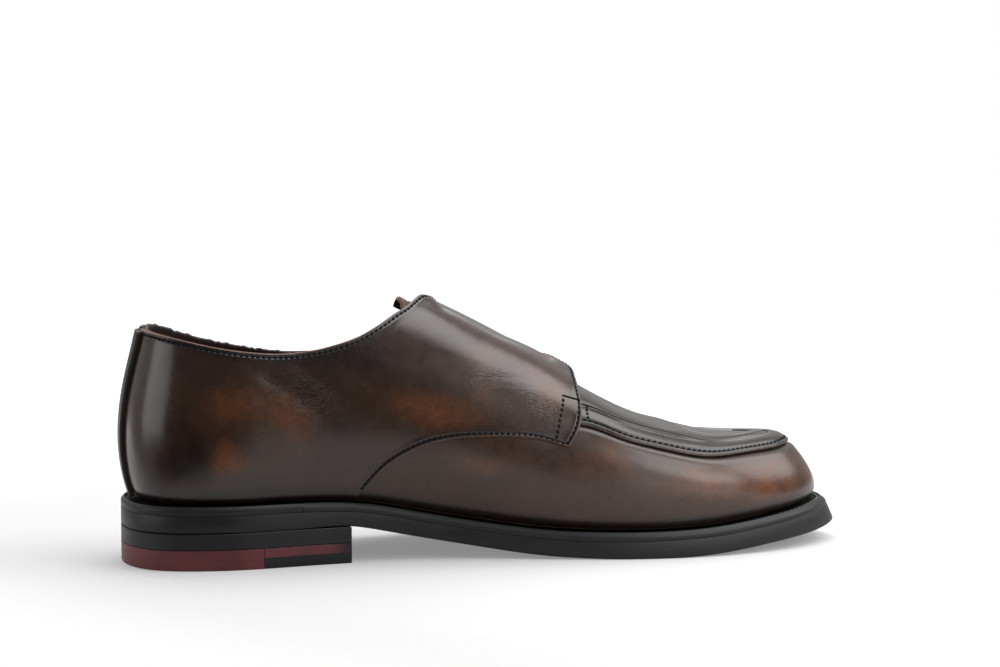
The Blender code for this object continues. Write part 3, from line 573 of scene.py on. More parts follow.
# columns of a patch near its edges: distance in millimetres
EDGE_STEPS = [0.0, 0.12, 0.3, 0.5, 0.8, 1.1, 1.35, 1.6, 1.8, 2.0, 2.2, 2.4, 2.7, 3.1, 3.6, 4.3]


class Patch:
    """Leather on the last between a low and a high edge with matching rows.

    Over the ridge an edge holds place and signed girth fraction (0 on the ridge, 1 on the feather line).
    Around the heel or the toe it holds station and the fraction above the feather line.
    """

    def __init__(self, low, high, columns, around=False):
        self.low, self.high, self.around = np.asarray(low), np.asarray(high), around
        self.rows = np.arange(len(low), dtype=float)
        points = last(*self.where(self.rows[:, None], np.linspace(0.0, 1.0, 25)[None]), 1.5)
        self.width = np.linalg.norm(np.diff(points, axis=1), axis=2).sum(1)
        self.along = path_lengths(points[:, 12])
        shrink = np.minimum(1.0, 0.42 * self.width / EDGE_STEPS[-1])
        near = np.array(EDGE_STEPS)[None] * shrink[:, None] / self.width[:, None]
        inner = np.linspace(0.0, 1.0, columns + 2)[1:-1]
        middle = near[:, -1:] + (1 - 2 * near[:, -1:]) * inner[None]
        self.across = np.concatenate([near, middle, 1 - near[:, ::-1]], 1)

    def grid(self):
        """Row number and fraction across of each point of the patch."""
        return np.broadcast_arrays(self.rows[:, None], self.across)

    def where(self, row, across):
        """Station and rise at a row number (whole or between) and a fraction across."""
        row, across = np.broadcast_arrays(np.asarray(row, float), np.asarray(across, float))
        first = np.clip(np.floor(row).astype(int), 0, len(self.low) - 2)
        share = (row - first)[..., None]
        low = self.low[first] * (1 - share) + self.low[first + 1] * share
        high = self.high[first] * (1 - share) + self.high[first + 1] * share
        spot = low * (1 - across[..., None]) + high * across[..., None]
        if self.around:
            return spot[..., 0], rise_at(spot[..., 0], spot[..., 1])
        station = np.where(spot[..., 1] < 0, -spot[..., 0], spot[..., 0])
        return station, rise_at(station, 1 - np.abs(spot[..., 1]))

    def distances(self, row, across):
        """Millimetres from the low edge, the high edge, the end and the start."""
        width = np.interp(row, self.rows, self.width)
        along = np.interp(row, self.rows, self.along)
        return across * width, (1 - across) * width, self.along[-1] - along, along


def build_patch(name, patch, outer_out, inner_out, looks, raw_mask):
    """outer_out and inner_out give millimetres off the last from (patch, row, across)."""
    row, across = patch.grid()
    station, rise = patch.where(row, across)
    outer = last(station, rise, outer_out(patch, row, across)).reshape(-1, 3)
    inner = last(station, rise, inner_out(patch, row, across)).reshape(-1, 3)
    ids = np.arange(station.size).reshape(station.shape)
    raw = raw_mask(patch, row, across).astype(int)
    raw = np.minimum(raw[:-1, :-1], raw[1:, 1:])
    return shell(name, ids, outer, inner, looks, raw)


def stitch_mesh(centres, tangents, normals, length, radius, slant=0.0, arch=0.45, sides=7, rings=6):
    """Points and faces of short thread loops: each is a bent capsule whose ends dive into the leather."""
    sideways = np.cross(normals, tangents)
    sideways /= np.linalg.norm(sideways, axis=1, keepdims=True)
    turned = tangents * math.cos(slant) + sideways * math.sin(slant)
    cross = np.cross(normals, turned)
    points, faces = [], []
    for k in range(len(centres)):
        base = k * sides * rings
        for i in range(rings):
            at = i / (rings - 1) * 2 - 1
            size = radius * math.sqrt(max(1 - 0.75 * at ** 4, 0.1))
            middle = centres[k] + turned[k] * at * length / 2 - normals[k] * arch * radius * 2.6 * at ** 4
            for s in range(sides):
                angle = 2 * math.pi * s / sides
                points.append(middle + size * (math.cos(angle) * cross[k] + math.sin(angle) * normals[k]))
        for i in range(rings - 1):
            for s in range(sides):
                a, b = base + i * sides + s, base + i * sides + (s + 1) % sides
                faces.append((a, b, b + sides, a + sides))
        faces.append(tuple(base + s for s in range(sides))[::-1])
        faces.append(tuple(base + (rings - 1) * sides + s for s in range(sides)))
    return np.array(points), faces


def stitch_path(points, normals, pitch, start=0.5):
    """Evenly spaced centres, tangents and normals along a path."""
    lengths = path_lengths(points)
    count = int((lengths[-1] - start) / pitch)
    at = start + (np.arange(count) + 0.5) * (lengths[-1] - start) / max(count, 1)
    at = at[at < lengths[-1]]

    def pick(values, where):
        return np.stack([np.interp(where, lengths, values[:, k]) for k in range(3)], 1)

    centres = pick(points, at)
    tangents = pick(points, np.minimum(at + 0.4, lengths[-1])) - pick(points, np.maximum(at - 0.4, 0))
    tangents /= np.linalg.norm(tangents, axis=1, keepdims=True)
    facing = pick(normals, at)
    facing -= tangents * np.sum(facing * tangents, 1, keepdims=True)
    facing /= np.linalg.norm(facing, axis=1, keepdims=True)
    return centres, tangents, facing


def patch_path(patch, rows, distance, side, out):
    """Points and normals along a patch at a distance from its low (0) or high (1) edge."""
    across = np.clip(distance / np.interp(rows, patch.rows, patch.width), 0, 1)
    across = across if side == 0 else 1 - across
    return off_last(*patch.where(rows, across), out(patch, rows, across))


def refine(rows, spans):
    """Smooth points along an edge, with a number of steps for each stretch between corners.

    Each row is two coordinates and 1 where the edge keeps a corner.
    """
    rows = np.asarray(rows, float)
    corners = [0] + [i for i in range(1, len(rows) - 1) if rows[i, 2] > 0.5] + [len(rows) - 1]
    points = []
    for start, end, steps in zip(corners, corners[1:], spans):
        keys = np.arange(start, end + 1)
        curve = spline([(k, rows[k, 0], rows[k, 1]) for k in keys])
        points.extend(curve(np.linspace(start, end, (end - start) * steps + 1)[:-1]))
    points.append(rows[-1, :2])
    return np.array(points)


def edge_rows(rows):
    """Table rows (side, place, kind, value, corner) as place, signed girth fraction and corner mark."""
    made = []
    for side, place, kind, value, corner in rows:
        station = side * place
        girth = float(total_girth(station))
        if kind == "feather":
            part = value / girth
        elif kind == "height":
            part = part_at_height(station, value)
        elif kind == "top":
            part = part_at_opening(station) - value / girth
        else:
            part = 1 - value / girth
        made.append((place, side * (1 - part), corner))
    return made


MEDIAL, LATERAL = -1, 1
# distance of the quarters' edges from the feather line and from the collar
SOLE_CLEAR = 2.2
TOP_CLEAR = 0.2


def marks(side, kind, *rows):
    """Rows of an edge table from (place, value) pairs on one side. A third number of 1 marks a corner."""
    return [(side, place, kind, value, *(corner or (0,))) for place, value, *corner in rows]


def level_run(side, kind, value, *places):
    """Rows at one value up to a corner, which is the last place."""
    return marks(side, kind, *((place, value, int(place == places[-1])) for place in places))


# inner quarter with the strap, lower and front edge: side, kind of measure, then place, value and corner
INNER_LOW = [
    *level_run(MEDIAL, "feather", SOLE_CLEAR, 0.8, 12, 28, 48, 66, 83, 95.5),
    *marks(MEDIAL, "height", (103.5, 37.5), (112.5, 44.5), (124, 49.6), (138, 51.9), (153, 51.9), (168, 50.6)),
    *marks(MEDIAL, "height", (180.6, 47.0, 1), (185.4, 54.0), (187.4, 62.0)),
    *marks(MEDIAL, "girth", (187.6, 19.5), (188.2, 10.5), (186.2, 2.0)),
    *marks(LATERAL, "girth", (180.0, 8.0), (169, 17.0), (160.5, 26.0), (156, 35.0), (154, 44.0), (152, 53.0)),
    *marks(LATERAL, "girth", (149.5, 61.0), (142, 66.5)),
]
# its collar edge and the rear edge of the strap, row by row against the table above
INNER_HIGH = [
    *level_run(MEDIAL, "top", TOP_CLEAR, 0.8, 10, 23, 38, 54, 68, 80),
    *marks(MEDIAL, "top", (90, TOP_CLEAR), (98, TOP_CLEAR)),
    *marks(MEDIAL, "height", (106, 98.6), (112, 102.0), (118, 104.8)),
    *marks(MEDIAL, "girth", (123.2, 7.0), (126.8, 3.5, 1), (128.0, 2.3), (129.0, 1.4), (129.8, 0.6)),
    *marks(LATERAL, "girth", (130.5, 0.5), (131.2, 3.5), (132, 10.0), (131.6, 18.0), (130, 26.5), (128.5, 35.0)),
    *marks(LATERAL, "girth", (127, 44.0), (126, 53.0), (126.5, 61.0), (134, 66.5)),
]
# outer quarter, lower and front edge, then its collar edge and the edge under the strap
OUTER_LOW = [
    *level_run(LATERAL, "feather", SOLE_CLEAR, 0.8, 14, 32, 54, 78, 100),
    *marks(LATERAL, "height", (109, 34.0), (120, 41.5), (133, 46.0), (148, 48.0), (160, 48.5), (171, 48.0, 1)),
    *marks(LATERAL, "height", (173, 55.0), (171, 62.0)),
]
OUTER_HIGH = [
    *level_run(LATERAL, "top", TOP_CLEAR, 0.8, 12, 28, 46, 66, 84),
    *marks(LATERAL, "top", (96, TOP_CLEAR), (107, TOP_CLEAR), (118, TOP_CLEAR)),
    *marks(LATERAL, "girth", (129, 21.0), (140, 20.0), (150, 21.0, 1), (158, 23.0), (165, 27.0)),
]

# apron band: station around the toe, height of its outer edge
BAND_EDGE = [
    (-192, 54.5),
    (-203, 50.2),
    (-215, 46.7),
    (-227, 43.9),
    (-239, 41.5),
    (-251, 40.6),
    (-264, 40.9),
    (-278, 41.2),
    (-291, 41.6),
    (-302, 42.2),
    (302, 42.0),
    (291, 41.2),
    (278, 40.6),
    (264, 40.0),
    (251, 39.8),
    (239, 40.2),
    (227, 41.6),
    (215, 44.2),
    (203, 47.6),
    (190, 52.0),
    (177, 57.0),
]

# tongue: place, half width
TONGUE = [
    (118.2, 15.0),
    (119.8, 15.6),
    (124, 16.5),
    (131, 18.0),
    (140, 20.0),
    (150, 20.0),
    (160, 19.0),
    (170, 17.0),
    (176, 15.0),
]
TONGUE_THICK = 1.8

# buckle on the outer side: place, half width, girths of its top and low bar, radii of corner and wires
BUCKLE_PLACE = 141.5
BUCKLE_HALF_WIDTH = 17.2
BUCKLE_TOP = 30.0
BUCKLE_LOW = 46.0
BUCKLE_CORNER = 4.0
BUCKLE_WIRE = 1.3
PRONG_WIRE = 0.9
# how far the strap stands off the last in several places, and the tongue's tip off its bed
STRAP_OVER_QUARTER = 2.2
STRAP_OVER_BAR = 5.0
REAR_CORNER = 1.4
FRONT_CREST = 1.2
TONGUE_TIP = 0.9


# ---------------------------------------------------------------- node materials
def tone(*levels):
    """An sRGB colour (0 to 255) as linear RGBA."""
    parts = [level / 255 for level in levels]
    return (*(c / 12.92 if c <= 0.04045 else ((c + 0.055) / 1.055) ** 2.4 for c in parts), 1.0)


def fill(tree, node, values):
    """Link or set a node's inputs."""
    for key, value in values.items():
        if isinstance(value, bpy.types.NodeSocket):
            tree.links.new(value, node.inputs[key])
        else:
            node.inputs[key].default_value = value


def new_node(tree, kind, values=None, **settings):
    """A node with its settings and its inputs' values or links."""
    made = tree.nodes.new(kind)
    for key, value in settings.items():
        setattr(made, key, value)
    fill(tree, made, values or {})
    return made


def maths(tree, operation, first, second=0.0, clamp=False):
    return new_node(tree, "ShaderNodeMath", {0: first, 1: second}, operation=operation, use_clamp=clamp).outputs[0]


def vectors(tree, operation, first, second):
    made = new_node(tree, "ShaderNodeVectorMath", {0: first, 1: second}, operation=operation)
    return made.outputs["Value" if operation == "LENGTH" else "Vector"]


def noise(tree, position, scale, detail=3.0, roughness=0.5, stretch=None, output=0):
    """Noise texture; stretch scales the position first."""
    if stretch:
        position = vectors(tree, "MULTIPLY", position, stretch)
    values = {"Vector": position, "Scale": scale, "Detail": detail, "Roughness": roughness}
    return new_node(tree, "ShaderNodeTexNoise", values).outputs[output]


def ramp(tree, value, stops):
    """Colour that changes with a value along (place, colour) stops."""
    made = new_node(tree, "ShaderNodeValToRGB", {0: value})
    band = made.color_ramp
    while len(band.elements) < len(stops):
        band.elements.new(0.5)
    for element, (place, colour) in zip(band.elements, stops):
        element.position = place
        element.color = colour
    return made.outputs[0]


def mix_colour(tree, factor, first, second):
    return new_node(tree, "ShaderNodeMix", {0: factor, 6: first, 7: second}, data_type="RGBA").outputs[2]


def remap(tree, value, low, high, out_low=0.0, out_high=1.0, smooth=False):
    """A value carried from one range to another."""
    return new_node(tree, "ShaderNodeMapRange", {0: value, 1: low, 2: high, 3: out_low, 4: out_high},
                    interpolation_type="SMOOTHSTEP" if smooth else "LINEAR").outputs[0]


def separate(tree, place):
    return new_node(tree, "ShaderNodeSeparateXYZ", {0: place}).outputs


def start_material(name):
    """A material, its node tree and shader, and the position in the object."""
    made = bpy.data.materials.new(name)
    made.use_nodes = True
    tree = made.node_tree
    shader = tree.nodes["Principled BSDF"]
    place = new_node(tree, "ShaderNodeTexCoord").outputs["Object"]
    return made, tree, shader, place


def spots(tree, place, rows, warp, seed):
    """Sum of soft spots at listed places. A row is x, y, z, three radii (shoe millimetres) and strength."""
    shifted = vectors(tree, "ADD", place, (seed, seed * 0.7, -seed * 0.4))
    drift = vectors(tree, "SUBTRACT", noise(tree, shifted, 30.0, output="Color"), (0.5, 0.5, 0.5))
    drift = vectors(tree, "MULTIPLY", drift, (warp * MM * 2,) * 3)
    moved = vectors(tree, "ADD", place, drift)
    total = None
    for x, y, z, *radii, strength in rows:
        offset = vectors(tree, "SUBTRACT", moved, tuple(to_row((x, y, z))))
        offset = vectors(tree, "MULTIPLY", offset, tuple(1 / (r * MM) for r in radii))
        far = vectors(tree, "LENGTH", offset, (0, 0, 0))
        amount = remap(tree, far, 0.0, 1.0, strength, 0.0, smooth=True)
        total = amount if total is None else maths(tree, "ADD", total, amount)
    return total


def bump_chain(tree, layers):
    """Bump from (height socket, strength, distance in millimetres) layers, one over another."""
    normal = None
    for height, strength, distance in layers:
        values = {"Height": height, "Strength": strength, "Distance": distance * MM}
        values.update({"Normal": normal} if normal else {})
        normal = new_node(tree, "ShaderNodeBump", values).outputs[0]
    return normal


# cognac patches where the dark finish is rubbed thin, one of them partly painted highlight: x, y, z, radii, strength
PATINA = [
    (46, -34, 70, 30, 24, 24, 0.34),
    (42, -34, 74, 16, 24, 13, 0.22),
    (62, -33, 68, 16, 24, 14, 0.40),
    (41, -34, 46, 14, 24, 14, 0.62),
    (46, -34, 44, 24, 24, 15, 0.22),
    (70, -32, 58, 15, 24, 17, 0.44),
    (24, -32, 50, 13, 20, 18, -0.22),
    (100, -30, 80, 24, 20, 14, -0.20),
    (126, -32, 63, 28, 24, 13, 0.62),
    (146, -32, 72, 10, 24, 8, 0.30),
    # partly painted highlight: this cognac patch on the strap's crest sits where the top light's warm sheen falls
    (152, -26, 86, 30, 24, 14, 0.30),
    (173, -28, 70, 18, 24, 20, 0.42),
    (143, -36, 43, 18, 24, 8, 0.46),
    (196, -43, 40, 24, 24, 17, 0.30),
    (240, -43, 32, 36, 24, 14, 0.28),
    (276, -32, 32, 32, 24, 17, 0.34),
    (250, -42, 26, 54, 24, 12, 0.14),
    (296, -4, 30, 22, 22, 16, 0.36),
    (276, 30, 32, 26, 24, 14, 0.65),
    (232, 50, 32, 30, 24, 13, 0.50),
    (188, 52, 42, 20, 24, 12, 0.34),
    (150, 40, 62, 20, 24, 12, 0.40),
    (118, 36, 74, 16, 20, 13, 0.36),
    (74, 34, 60, 24, 24, 16, 0.36),
    (40, 34, 48, 13, 24, 13, 0.52),
    (26, 30, 76, 18, 20, 14, 0.26),
    (4, 0, 58, 12, 16, 20, 0.22),
    (206, 2, 66, 26, 18, 20, 0.22),
    (252, 2, 50, 24, 22, 16, 0.28),
]
# where the hide is finely wrinkled: x, y, z, radii, strength
WRINKLES = [
    (66, -33, 76, 34, 24, 20, 0.8),
    (78, -32, 66, 20, 24, 16, 0.8),
    (96, -31, 88, 22, 24, 12, 0.5),
    (152, -31, 76, 26, 24, 9, 0.7),
    (150, -32, 64, 30, 24, 12, 0.5),
    (172, -32, 62, 14, 24, 14, 0.9),
    (84, 34, 78, 26, 24, 22, 0.9),
    (196, 44, 48, 22, 24, 14, 0.5),
]


def leather(name, dark, middle, light, base=0.20, gloss=0.23, level=0.5, grain=1.0, seed=0.0):
    """Smooth hand-finished hide: rubbed patches, mottled dye, pores, and fine wrinkles where it bends, made darker
    by the dye_and_shade attribute: dyed edges and painted shade.
    """
    made, tree, shader, place = start_material(name)
    rubbed = spots(tree, place, PATINA, 13.0, seed)
    cloud = noise(tree, place, 34.0, 4.0, 0.55)
    mottle = noise(tree, place, 210.0, 4.0, 0.6)
    speck = noise(tree, place, 1300.0, 2.0, 0.5)
    rub = noise(tree, place, 520.0, 4.0, 0.65)
    rubbed = maths(tree, "MULTIPLY", rubbed, remap(tree, rub, 0.35, 0.65, 0.78, 1.22))
    amount = maths(tree, "ADD", rubbed, base)
    for cloudy, spread in ((cloud, 0.15), (mottle, 0.06), (speck, 0.03)):
        amount = maths(tree, "ADD", amount, remap(tree, cloudy, 0.3, 0.7, -spread, spread))
    # dye_and_shade attribute: darker dye at cut edges and painted shade in creases, grooves and gaps; it darkens the
    # colour and roughens a little
    seam = new_node(tree, "ShaderNodeAttribute", attribute_name="dye_and_shade").outputs["Fac"]
    amount = maths(tree, "SUBTRACT", amount, maths(tree, "MULTIPLY", seam, 0.7), clamp=True)
    colour = ramp(tree, amount, [(0.0, dark), (0.45, middle), (1.0, light)])
    rough = maths(tree, "ADD", remap(tree, mottle, 0.3, 0.7, gloss - 0.03, gloss + 0.04),
                  maths(tree, "MULTIPLY", seam, 0.05))
    pores = new_node(tree, "ShaderNodeTexVoronoi", {"Vector": place, "Scale": 1500.0, "Randomness": 1.0},
                     feature="DISTANCE_TO_EDGE").outputs["Distance"]
    pores = remap(tree, pores, 0.0, 0.25, 0.0, 1.0, smooth=True)
    uneven = noise(tree, place, 95.0)
    lines = noise(tree, place, 430.0, 4.0, 0.6, stretch=(0.7, 1.0, 1.35))
    worn = spots(tree, place, WRINKLES, 6.0, seed + 0.3)
    slanted = {"Vector": place, "Rotation": (0.0, math.radians(-38.0), 0.0), "Scale": (0.42, 0.8, 1.7)}
    fold = noise(tree, new_node(tree, "ShaderNodeMapping", slanted, vector_type="POINT").outputs[0], 520.0)
    fold = maths(tree, "ABSOLUTE", maths(tree, "SUBTRACT", fold, 0.5))
    fold = maths(tree, "MULTIPLY", remap(tree, fold, 0.0, 0.09, 0.0, 1.0, smooth=True), worn)
    normal = bump_chain(tree, [(uneven, 0.22, 0.55), (fold, 0.5, 0.10 * grain), (lines, 0.22, 0.07 * grain),
                               (pores, 0.20, 0.03 * grain)])
    fill(tree, shader, {"Base Color": colour, "Roughness": rough, "IOR": 1.5, "Specular IOR Level": level,
                        "Normal": normal})
    return made


def plain_fibre(name, first, second, scale=700.0, level=0.5):
    """Cut edges, suede and the soft back of leather."""
    made, tree, shader, place = start_material(name)
    fine = noise(tree, place, scale, 4.0, 0.65)
    wide = noise(tree, place, scale * 0.12, 3.0, 0.55)
    amount = maths(tree, "ADD", maths(tree, "MULTIPLY", fine, 0.55), maths(tree, "MULTIPLY", wide, 0.45))
    fill(tree, shader, {
        "Base Color": ramp(tree, amount, [(0.35, first), (0.65, second)]),
        "Roughness": remap(tree, fine, 0.3, 0.7, 0.74, 0.86),
        "IOR": 1.40,
        "Specular IOR Level": level,
        "Normal": bump_chain(tree, [(fine, 0.6, 0.12), (wide, 0.3, 0.3)]),
    })
    return made


def rubber(name, first, second, roughness=0.45, level=0.25, fade=None):
    """Matt rubber with fine buffing marks. fade is a colour and the x where it starts and ends."""
    made, tree, shader, place = start_material(name)
    fine = noise(tree, place, 900.0, 4.0, 0.6)
    wide = noise(tree, place, 60.0, 4.0, 0.6)
    rub = noise(tree, place, 420.0, 3.0, 0.6, stretch=(0.12, 0.12, 1.0))
    amount = maths(tree, "ADD", maths(tree, "MULTIPLY", wide, 0.6), maths(tree, "MULTIPLY", rub, 0.4))
    colour = ramp(tree, amount, [(0.35, first), (0.65, second)])
    if fade:
        target, start, end = fade
        x = separate(tree, place)[0]
        factor = remap(tree, x, to_row((start, 0, 0))[0], to_row((end, 0, 0))[0], smooth=True)
        colour = mix_colour(tree, factor, colour, target)
    fill(tree, shader, {
        "Base Color": colour,
        "Roughness": remap(tree, amount, 0.3, 0.7, roughness - 0.05, roughness + 0.07),
        "Specular IOR Level": level,
        "Normal": bump_chain(tree, [(rub, 0.25, 0.08), (fine, 0.35, 0.04)]),
    })
    return made


def thread(name, first, second, roughness=0.55):
    """Twisted thread with a little fuzz."""
    made, tree, shader, place = start_material(name)
    ply = new_node(tree, "ShaderNodeTexWave", {"Vector": place, "Scale": 520.0, "Distortion": 1.5},
                   bands_direction="DIAGONAL").outputs["Fac"]
    fuzz = noise(tree, place, 2600.0, 2.0, 0.6)
    fill(tree, shader, {
        "Base Color": ramp(tree, maths(tree, "MULTIPLY", ply, fuzz), [(0.1, first), (0.55, second)]),
        "Roughness": roughness,
        "Specular IOR Level": 0.15,
        "Normal": bump_chain(tree, [(ply, 0.6, 0.08), (fuzz, 0.4, 0.04)]),
    })
    return made


def brass(name, worn, bright):
    """Brushed brass, duller where it is worn."""
    made, tree, shader, place = start_material(name)
    wear = noise(tree, place, 240.0, 4.0, 0.6)
    brush = noise(tree, place, 1500.0, 3.0, 0.6, stretch=(0.2, 1.0, 1.0))
    fill(tree, shader, {
        "Base Color": ramp(tree, wear, [(0.35, worn), (0.62, bright)]),
        "Metallic": 1.0,
        "Roughness": remap(tree, wear, 0.3, 0.7, 0.34, 0.20),
        "Normal": bump_chain(tree, [(brush, 0.25, 0.02), (wear, 0.15, 0.05)]),
    })
    return made


DARK = tone(24, 16, 13)
vamp_leather = leather("burnished_vamp", DARK, tone(54, 32, 20), tone(98, 56, 29), base=0.27, gloss=0.28, grain=0.4)
quarter_leather = leather("burnished_quarter", DARK, tone(50, 30, 19), tone(84, 48, 25), base=0.22, seed=0.013)
apron_leather = leather("burnished_apron", tone(17, 13, 12), tone(36, 25, 19), tone(62, 40, 26), seed=0.021)
stay_leather = leather("burnished_backstay", tone(16, 11, 10), tone(36, 24, 18), tone(66, 40, 26), base=0.12,
                       gloss=0.42, level=0.12, seed=0.034)
tongue_leather = leather("tongue_hide", tone(24, 14, 11), tone(54, 31, 22), tone(104, 64, 44), base=0.30,
                         gloss=0.5, level=0.3, seed=0.05)
cut_edge = plain_fibre("cut_edge", tone(60, 36, 26), tone(112, 74, 54))
# near black for seams, the strap's slit and stitch rows, and painted shade in the apron's far toe sliver and in the
# strap's holes
seam_and_shade_black = plain_fibre("seam_and_shade_black", tone(5, 4, 4), tone(12, 10, 9), level=0.1)
# the cut lip's greyish pink is partly its own colour and partly painted sheen from the top light
lip_edge_and_sheen = plain_fibre("lip_edge_and_sheen", tone(48, 37, 34), tone(96, 78, 72))
lining_edge = plain_fibre("lining_edge", tone(24, 16, 14), tone(66, 44, 34), scale=420.0)
# dark edge: dye on the backstay's cut edges; on the apron's outer wall also painted shade of the gap under its lip
dyed_and_shaded_edge = plain_fibre("dyed_edge_and_gap_shade", tone(22, 15, 13), tone(46, 31, 26))
lining_hide = leather("lining_hide", tone(20, 13, 11), tone(38, 24, 18), tone(64, 42, 32), base=0.4, gloss=0.52,
                      level=0.3, grain=0.8, seed=0.06)
sock_hide = leather("sock_hide", tone(40, 26, 19), tone(84, 57, 40), tone(132, 94, 66), base=0.42, gloss=0.5,
                    level=0.3, grain=0.8, seed=0.07)
sole_look = rubber("outsole_rubber", tone(17, 17, 18), tone(26, 26, 27))
# painted shade: the groove between welt and upper is made near black and rough
groove_shade_look = rubber("welt_groove_painted_shade", tone(5, 5, 5), tone(11, 10, 10), roughness=0.7, level=0.1)
welt_look = rubber("welt_rubber_fine", tone(17, 17, 18), tone(25, 25, 26), roughness=0.46, level=0.26)
heel_look = rubber("heel_rubber_fine", tone(17, 17, 18), tone(26, 26, 27))
lift_look = rubber("burgundy_lift", tone(74, 33, 37), tone(94, 46, 49), roughness=0.5,
                   fade=(tone(24, 20, 20), 80.0, 93.0))
insert_look = rubber("black_insert", tone(15, 15, 16), tone(24, 24, 25), roughness=0.5)
upper_thread = thread("dark_thread", tone(6, 5, 5), tone(16, 13, 12), roughness=0.8)
welt_thread = thread("welt_thread_pale", tone(70, 76, 66), tone(140, 148, 128))
buckle_look = brass("aged_brass", tone(150, 122, 78), tone(205, 178, 126))


# ---------------------------------------------------------------- quarters, strap and backstay
def strap_lift(station, part):
    """How far the strap stands off the last: over the apron band, the outer quarter and the buckle's bar."""
    girth = (1 - part) * total_girth(station)
    place = np.abs(station)
    low_down = bump(girth, 1.5, 14.0)
    over_band = bump(place, 151, 176) * (1 - low_down) + bump(place, 146, 184) * low_down
    over_band = 2.2 * over_band * (1 - bump(girth, 31, 54)) * (station < 0)
    over_crest = 2.2 * bump(place, 151, 176) * (station > 0)
    over_quarter = STRAP_OVER_QUARTER * bump(girth, 6, 14)
    over_bar = (STRAP_OVER_BAR - STRAP_OVER_QUARTER) * bump(girth, 34, 41) * (1 - bump(girth, 50, 60))
    outer = np.maximum(over_quarter + over_bar, over_crest)
    rear_corner = REAR_CORNER * (1 - bump(place, 128.5, 134)) * (1 - bump(girth, 5, 12))
    front_crest = FRONT_CREST * bump(place, 176, 182) * (1 - bump(girth, 5, 16))
    return np.where(station > 0, outer, over_band) + rear_corner + front_crest


# soft creases: start x, z, end x, z, depth, half width, all on one side of the shoe
INNER_CREASES = [
    (52, 82, 84, 60, 0.40, 3.2),
    (66, 86, 96, 64, 0.24, 2.4),
    (50, 74, 72, 56, 0.16, 2.4),
    (84, 86, 104, 72, 0.10, 1.8),
    (140, 78, 176, 73, 0.10, 1.2),
    (146, 74, 172, 71, 0.07, 1.0),
    (20, 88, 30, 42, -0.25, 7.0),
    (36, 60, 60, 44, 0.30, 8.0),
]
OUTER_CREASES = [
    (58, 80, 84, 58, 0.20, 2.6),
    (70, 82, 98, 62, 0.14, 2.2),
    (24, 84, 32, 42, -0.22, 7.0),
    (100, 72, 128, 60, 0.12, 2.6),
]


def crease_relief(points, rows):
    """Soft troughs along short lines in side view. A negative depth makes a ridge."""
    x, z = points[..., 0], points[..., 2]
    total = np.zeros(x.shape)
    for x0, z0, x1, z1, depth, width in rows:
        length = math.hypot(x1 - x0, z1 - z0)
        along = ((x - x0) * (x1 - x0) + (z - z0) * (z1 - z0)) / length
        off = (x - x0) * (z1 - z0) / length - (z - z0) * (x1 - x0) / length
        ends = bump(along, -0.25 * length, 0.3 * length) * (1 - bump(along, 0.7 * length, 1.25 * length))
        total -= depth * ends * hill(off, 0.0, width)
    return total


class Overlay:
    """Relief of one quarter: its cut edges, rows of stitches and creases, and the strap's lift."""

    def __init__(self, cut_from, creases, lift=None):
        self.cut_from, self.creases, self.lift = cut_from, creases, lift

    def free(self, row):
        """0 where the low edge lies on the welt, 1 where it is a cut edge."""
        return bump(row, self.cut_from - 2, self.cut_from + 6)

    def raised(self, patch, row, across):
        station, rise = patch.where(row, across)
        if self.lift is None:
            return np.zeros(station.shape)
        return self.lift(station, part_of_rise(station, rise))

    def outer(self, patch, row, across):
        low, high, end, _ = patch.distances(row, across)
        free = self.free(row)
        share = np.minimum(1 - free * (1 - cut_profile(low)), np.minimum(cut_profile(high), cut_profile(end)))
        relief = free * seam_relief(low) + seam_relief(high) + seam_relief(end)
        creases = crease_relief(last(*patch.where(row, across), 1.9), self.creases) * bump(high, 1.5, 5.0)
        creases = creases * (1 - free * (1 - bump(low, 1.5, 5.0)))
        tuck = 0.95 * (1 - free) * np.exp(-low / 2.0)
        return OVERLAY_GAP + self.raised(patch, row, across) + LEATHER * share + relief + creases - tuck

    def inner(self, patch, row, across):
        low, high, _, _ = patch.distances(row, across)
        return self.raised(patch, row, across) + 0.05 + OVERLAY_GAP * 0.9 * bump(np.minimum(low, high), 0.4, 3.0)

    def raw(self, patch, row, across):
        """Look of each face: 1 on a cut edge, 3 along a row of stitches, black there for the thread's line and as
        painted shade in the trough it pulls.
        """
        low, high, end, _ = patch.distances(row, across)
        loose = self.free(row) > 0.5
        is_cut = (high < 0.55) | ((low < 0.6) & loose) | (end < 0.55)
        seam = (np.abs(high - SEAM_INSET) < 0.25) | ((np.abs(low - SEAM_INSET) < 0.25) & loose)
        seam = seam | (np.abs(end - SEAM_INSET) < 0.4)
        return np.where(is_cut, 1, np.where(seam, 3, 0))

    def dye_and_shade(self, patch, row, across):
        low, high, _, _ = patch.distances(row, across)
        free = self.free(row)
        # darker dye near the cut edges; painted shade in the crease where the low edge lies on the welt; darker
        # along the stitch rows, partly painted shade in their troughs
        edge = 0.8 * np.exp(-high / 2.4) + 0.7 * free * np.exp(-low / 2.4) + 1.6 * (1 - free) * hill(low, 0.0, 2.6)
        return edge + 0.7 * hill(high, SEAM_INSET, 0.7) + 0.7 * free * hill(low, SEAM_INSET, 0.7)


def dress(name, patch, overlay, looks, slot, node):
    """One laid-on leather with its relief, its darker dye and painted shade, and the CAD node it stands for."""
    made = build_patch(name, patch, overlay.outer, overlay.inner, looks, overlay.raw)
    store_dye_and_shade(made, overlay.dye_and_shade(patch, *patch.grid()))
    return settle(made, slot, node)


